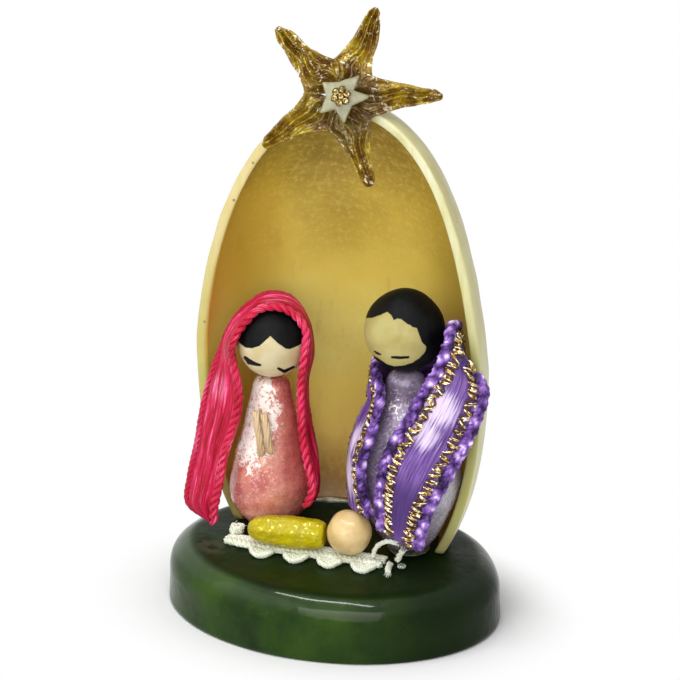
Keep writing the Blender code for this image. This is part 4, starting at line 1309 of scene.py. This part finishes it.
def makeDrop():
    centre = pastLace(0.83, -0.17, 3.04)
    clear = Finish("clearGlueFinish", (249, 250, 248), 0.06, coat=0.5, Coat_Roughness=0.03,
                   Transmission_Weight=0.8, IOR=1.45)
    fine = clear.cloud(0.12, 3.0, 0.6)
    clear.dress(clear.ramp(fine, [(0.35, (208, 214, 202)), (0.65, (250, 252, 248))]),
                fine * 0.12 + 0.02, clear.bump(clear.cells(0.09), 0.3, 0.02))

    def bead(radius, height):
        def shape(way):
            return Vector((radius * way.x, radius * way.y,
                           height * way.z)) * (1.0 + 0.04 * (wave(way, 0.6, 2.0) - 1.0))
        return shape

    body = Shape()
    body.ball(centre, bead(0.2, 0.11), 64, 32)
    for x, y, lift, size in ((0.07, -0.03, 0.07, 0.045), (-0.06, 0.05, 0.08, 0.035),
                             (0.0, -0.1, 0.06, 0.03)):
        body.ball(centre + Vector((x, y, lift)), bead(size, size * 0.9), 24, 14)
    body.build("clearGlueDrop", [clear], "clear_glue_drop")


makeDrop()
print("glue drop made")


# Star: five pods of crumpled gold foil, an ivory star over their roots, gold beads in the middle
star = {"centre": (0.14, 0.35, 23.39), "turn": 22.0, "tilt": 25.0, "armStart": 0.3,
        "spread": 0.9, "seam": 0.02, "halfWidth": 0.95, "tipHalfWidth": 0.27, "thick": 0.4,
        "angles": (134.0, 67.5, 0.0, -71.0, -148.0), "reaches": (3.92, 4.0, 4.25, 3.95, 3.85),
        "coreRadius": 0.46, "coreThick": 0.24, "fold": 0.1, "crumple": 0.024}
ivory = {"angles": (48.0, 143.0, 219.0, 277.0, 359.0), "reaches": (1.24, 0.98, 1.18, 1.2, 1.31),
         "waist": 0.62, "thickness": 0.34, "rise": 0.48, "beadRadius": 0.17, "beadRing": 0.27,
         "steps": 240, "beadGap": 0.08}
starFrame = (Matrix.Rotation(radians(star["turn"]), 3, "Z")
             @ Matrix.Rotation(radians(90.0 - star["tilt"]), 3, "X"))


def onStar(place):
    return Vector(star["centre"]) + starFrame @ place


def podHalfWidth(along, reach):
    root = along * star["spread"] - star["seam"]
    share = clamp((along - 1.25) / (reach - 1.25))
    return min(root, star["halfWidth"]
               + (star["tipHalfWidth"] - star["halfWidth"]) * share ** 0.62)


def podShape(number):
    reach = star["reaches"][number]
    thick = star["thick"]

    def shape(way):
        share = (way.z + 1.0) * 0.5
        around = hypot(way.x, way.y)
        side = way.x / around if around > tiny else 0.0
        front = way.y / around if around > tiny else 0.0
        along = star["armStart"] + (reach - star["armStart"]) * share
        full = min(around * 1.5, 1.0) ** 0.6
        free = min(max(share - 0.3, 0.0) * 4.0, 1.0)
        wide = podHalfWidth(along, reach) * full
        crease = 1.0 + 0.07 * free * sin(9.0 * share + 1.7 * number)
        high = thick * (1.0 - 0.35 * share) * full
        out = high * front
        if front > 0.0:
            out -= high * front * (1.0 - side * side) * (1.2 - 1.2 * share ** 3)
            out += 0.1 * full * free * abs(side) * front * sin(11.0 * share + number)
        bow = 0.05 * free * sin(5.0 * share + 2.1 * number)
        place = Vector((along, wide * side * crease + bow, out))
        # Sharp folds run along the pod and draw together at its tip
        spread = place.y / max(podHalfWidth(along, reach), 0.2)
        drift = 0.5 * wave(Vector((place.x, place.y * 0.5, number)), 1.1, number * 3.0)
        fold = 1.0 - 2.0 * abs(2.0 * ((1.35 * spread + drift + 0.2 * number) % 1.0) - 1.0)
        small = 1.0 - 2.0 * abs(wave(Vector((place.x * 0.5, place.y, place.z)), 0.2, number))
        crumple = (star["fold"] * (fold - 0.6) + star["crumple"] * (small - 0.6)) * full
        place.y += side * crumple * 0.4 * free
        place.z += front * crumple * (1.5 if front > 0.0 else 0.6)
        return place
    return shape


def makePodFinish():
    gold = Finish("goldPodFinish", (160, 124, 48), 0.3, metallic=0.75, coat=0.12,
                  Coat_Roughness=0.08)
    broad = gold.cloud(0.9, 4.0, 0.6)
    fine = gold.cloud(0.14, 4.0, 0.65)
    grooves = gold.cells(0.7, feature="DISTANCE_TO_EDGE")
    glintSpots = gold.cloud(0.3, 3.0, 0.6, None, 1.5)
    # Painted shade in the grooves and towards the middle where the folds close, most just below
    # it, and pale spots as painted glints
    tint = gold.layered(
        gold.ramp(broad * 0.7 + fine * 0.3, [(0.36, (84, 50, 0)), (0.46, (124, 91, 4)),
                                             (0.55, (158, 131, 14)), (0.66, (206, 186, 66))]),
        [((1.0 - gold.step(grooves, 0.0, 0.06)) * 0.25, (70, 40, 4)),
         (gold.step(glintSpots, 0.575, 0.64) * 0.8, (250, 240, 202)),
         (gold.near(onStar(Vector((0.25, -0.5, 0.0))), 0.8, 2.3) * 0.7, (60, 36, 2))])
    gold.dress(tint, fine * 0.3 + 0.2,
               gold.bump(grooves, 0.3, 0.06, gold.bump(fine, 0.25, 0.03)))
    gold.set("Metallic", 0.55 - fine * 0.4)
    return gold


podFinish = makePodFinish()
for number, angle in enumerate(star["angles"]):
    makeBall("starArm" + str(number + 1), Vector(star["centre"]), podShape(number), 150, 170,
             podFinish, "star_arm_" + str(number + 1),
             starFrame @ Matrix.Rotation(radians(angle), 3, "Z"))


def makeCore():
    def shape(way):
        turn = atan2(way.y, way.x)
        ridge = 1.0 + 0.05 * cos(5.0 * turn) + 0.05 * (wave(way, 0.3, 2.0) - 1.0)
        return Vector((star["coreRadius"] * way.x, star["coreRadius"] * way.y,
                       star["coreThick"] * way.z)) * ridge

    makeBall("starCore", Vector(star["centre"]), shape, 100, 60, podFinish, "star_core",
             starFrame)


makeCore()


def ivoryReach(turn):  # how far the ivory star reaches in a direction given in degrees
    corners = []
    for number, angle in enumerate(ivory["angles"]):
        following = ivory["angles"][(number + 1) % 5]
        corners.append((angle, ivory["reaches"][number]))
        corners.append((angle + ((following - angle) % 360.0) * 0.5, ivory["waist"]))
    for (start, near), (end, far) in zip(corners, corners[1:] + corners[:1]):
        span = (end - start) % 360.0
        gone = (turn - start) % 360.0
        if gone <= span:
            first = Vector((near, 0.0))
            last = Vector((far * cos(radians(span)), far * sin(radians(span))))
            way = Vector((cos(radians(gone)), sin(radians(gone))))
            side = last - first
            return (first.x * side.y - first.y * side.x) / (way.x * side.y - way.y * side.x)
    return ivory["waist"]


def makeIvory():
    clay = Finish("ivoryFinish", (203, 197, 181), 0.4, coat=0.25, Coat_Roughness=0.15)
    cloudy = clay.cloud(0.6, 4.0, 0.6)
    fine = clay.cloud(0.12, 4.0, 0.6)
    tint = clay.ramp(cloudy, [(0.3, (126, 120, 86)), (0.55, (154, 151, 118)),
                              (0.75, (182, 182, 154))])
    tint = clay.blend((clay.cells(0.25) < 0.1) * 0.5, tint, (128, 104, 66))
    clay.dress(tint, fine * 0.25 + 0.26,
               clay.bump(fine, 0.4, 0.04, clay.bump(cloudy, 0.3, 0.08)))
    half = ivory["thickness"] * 0.5
    # Share of the outline's reach and height of each ring, over the rounded edge to the back
    levels = ([(0.02, half), (0.25, half), (0.5, half), (0.7, half), (0.8, half * 0.98)]
              + [(0.86 + 0.14 * sin(turn), half * (0.35 + 0.65 * cos(turn)))
                 for turn in (pi / 2.0 * step / 8 for step in range(1, 9))]
              + [(1.0, -half * 0.35), (0.97, -half * 0.8), (0.9, -half), (0.02, -half)])
    rows = []
    for share, high in levels:
        row = []
        for step in range(ivory["steps"]):
            angle = 360.0 * step / ivory["steps"]
            reach = sum(ivoryReach(angle + shift) for shift in (-3.0, -1.0, 1.0, 3.0)) / 4.0
            place = ringSpot(reach * share, radians(angle), high)
            worn = 0.02 * (wave(place, 0.3, 6.0) - 0.8) * min(share * 2.0, 1.0)
            place *= 1.0 + worn
            place.z += ivory["rise"] + half + 0.018 * wave(place, 0.25, 1.0) * (high > 0.0)
            row.append(onStar(place))
        rows.append(row)
    body = Shape()
    start = body.sheet(rows)
    body.cap(start, ivory["steps"])
    body.cap(start + (len(rows) - 1) * ivory["steps"], ivory["steps"])
    body.build("ivoryStar", [clay], "ivory_star")


def makeBeads():
    bead = Finish("goldBeadFinish", (188, 158, 69), 0.2, metallic=0.85, coat=0.3,
                  Coat_Roughness=0.06)
    fine = bead.cloud(0.12, 4.0, 0.6)
    bead.dress(bead.ramp(fine, [(0.35, (60, 32, 4)), (0.5, (128, 104, 44)),
                                (0.68, (226, 216, 160))]), fine * 0.2 + 0.1,
               bead.bump(fine, 0.4, 0.03))
    height = ivory["rise"] + ivory["thickness"] + ivory["beadGap"] + ivory["beadRadius"]
    places = [Vector((0.0, 0.0, height))]
    for step in range(6):
        turn = radians(17.0 + 60.0 * step)
        places.append(ringSpot(ivory["beadRing"], turn, height))
    body = Shape()
    for index, place in enumerate(places):
        def dimpled(way, seed=index):
            # Each bead is dimpled where its thread goes in
            dimple = 0.3 * max(way.z - 0.86, 0.0) / 0.14
            return way * ivory["beadRadius"] * (1.0 - dimple + 0.03 * wave(way, 0.5, seed * 2.0))

        body.ball(onStar(place), dimpled, 40, 28, starFrame)
    body.build("starBeads", [bead], "star_beads")


makeIvory()
makeBeads()


def makeStarGlue():
    def blob(way):
        lump = 1.0 + 0.06 * (wave(way, 0.5, 3.0) - 1.0)
        return Vector((0.34 * way.x, 0.5 * way.y, 0.26 * way.z)) * lump

    place = Vector((shell["x"] + shell["lean"] - 0.1, shell["rimY"] + 0.42,
                    shell["mid"] + shell["rise"] + 0.26 + glueGap))
    makeBall("starGlue", place, blob, 90, 60, glueFinish, "star_glue")


def makeFootGlue():
    radius = 0.14
    level = shell["foot"] + radius
    share = (level - shell["mid"]) / shell["drop"]
    half = shell["halfWidth"] * sqrt(1.0 - abs(share) ** shell["footPower"])
    inward = shell["wall"] + glueGap + radius + 0.06
    guides = []
    for step in range(21):
        turn = radians(28.0 + 124.0 * step / 20)
        guides.append(Vector((shell["x"] + (half - inward) * cos(turn),
                              shell["rimY"] + (half * shell["depthShare"] - inward)
                              * sin(turn), level)))
    path = evenPath(guides, 0.05)
    swell = []
    for index, place in enumerate(path):
        part = 20.0 * index / (len(path) - 1)
        swell.append(0.8 + 0.17 * cos(2.3 * part) + 0.08 * (wave(place, 0.3, 2.0) - 1.0))
    body = Shape()
    body.tube(path, radius, 20, swell)
    body.build("shellFootGlue", [glueFinish], "shell_foot_glue")


makeStarGlue()
makeFootGlue()
print("star and glue made")


bpy.context.view_layer.update()
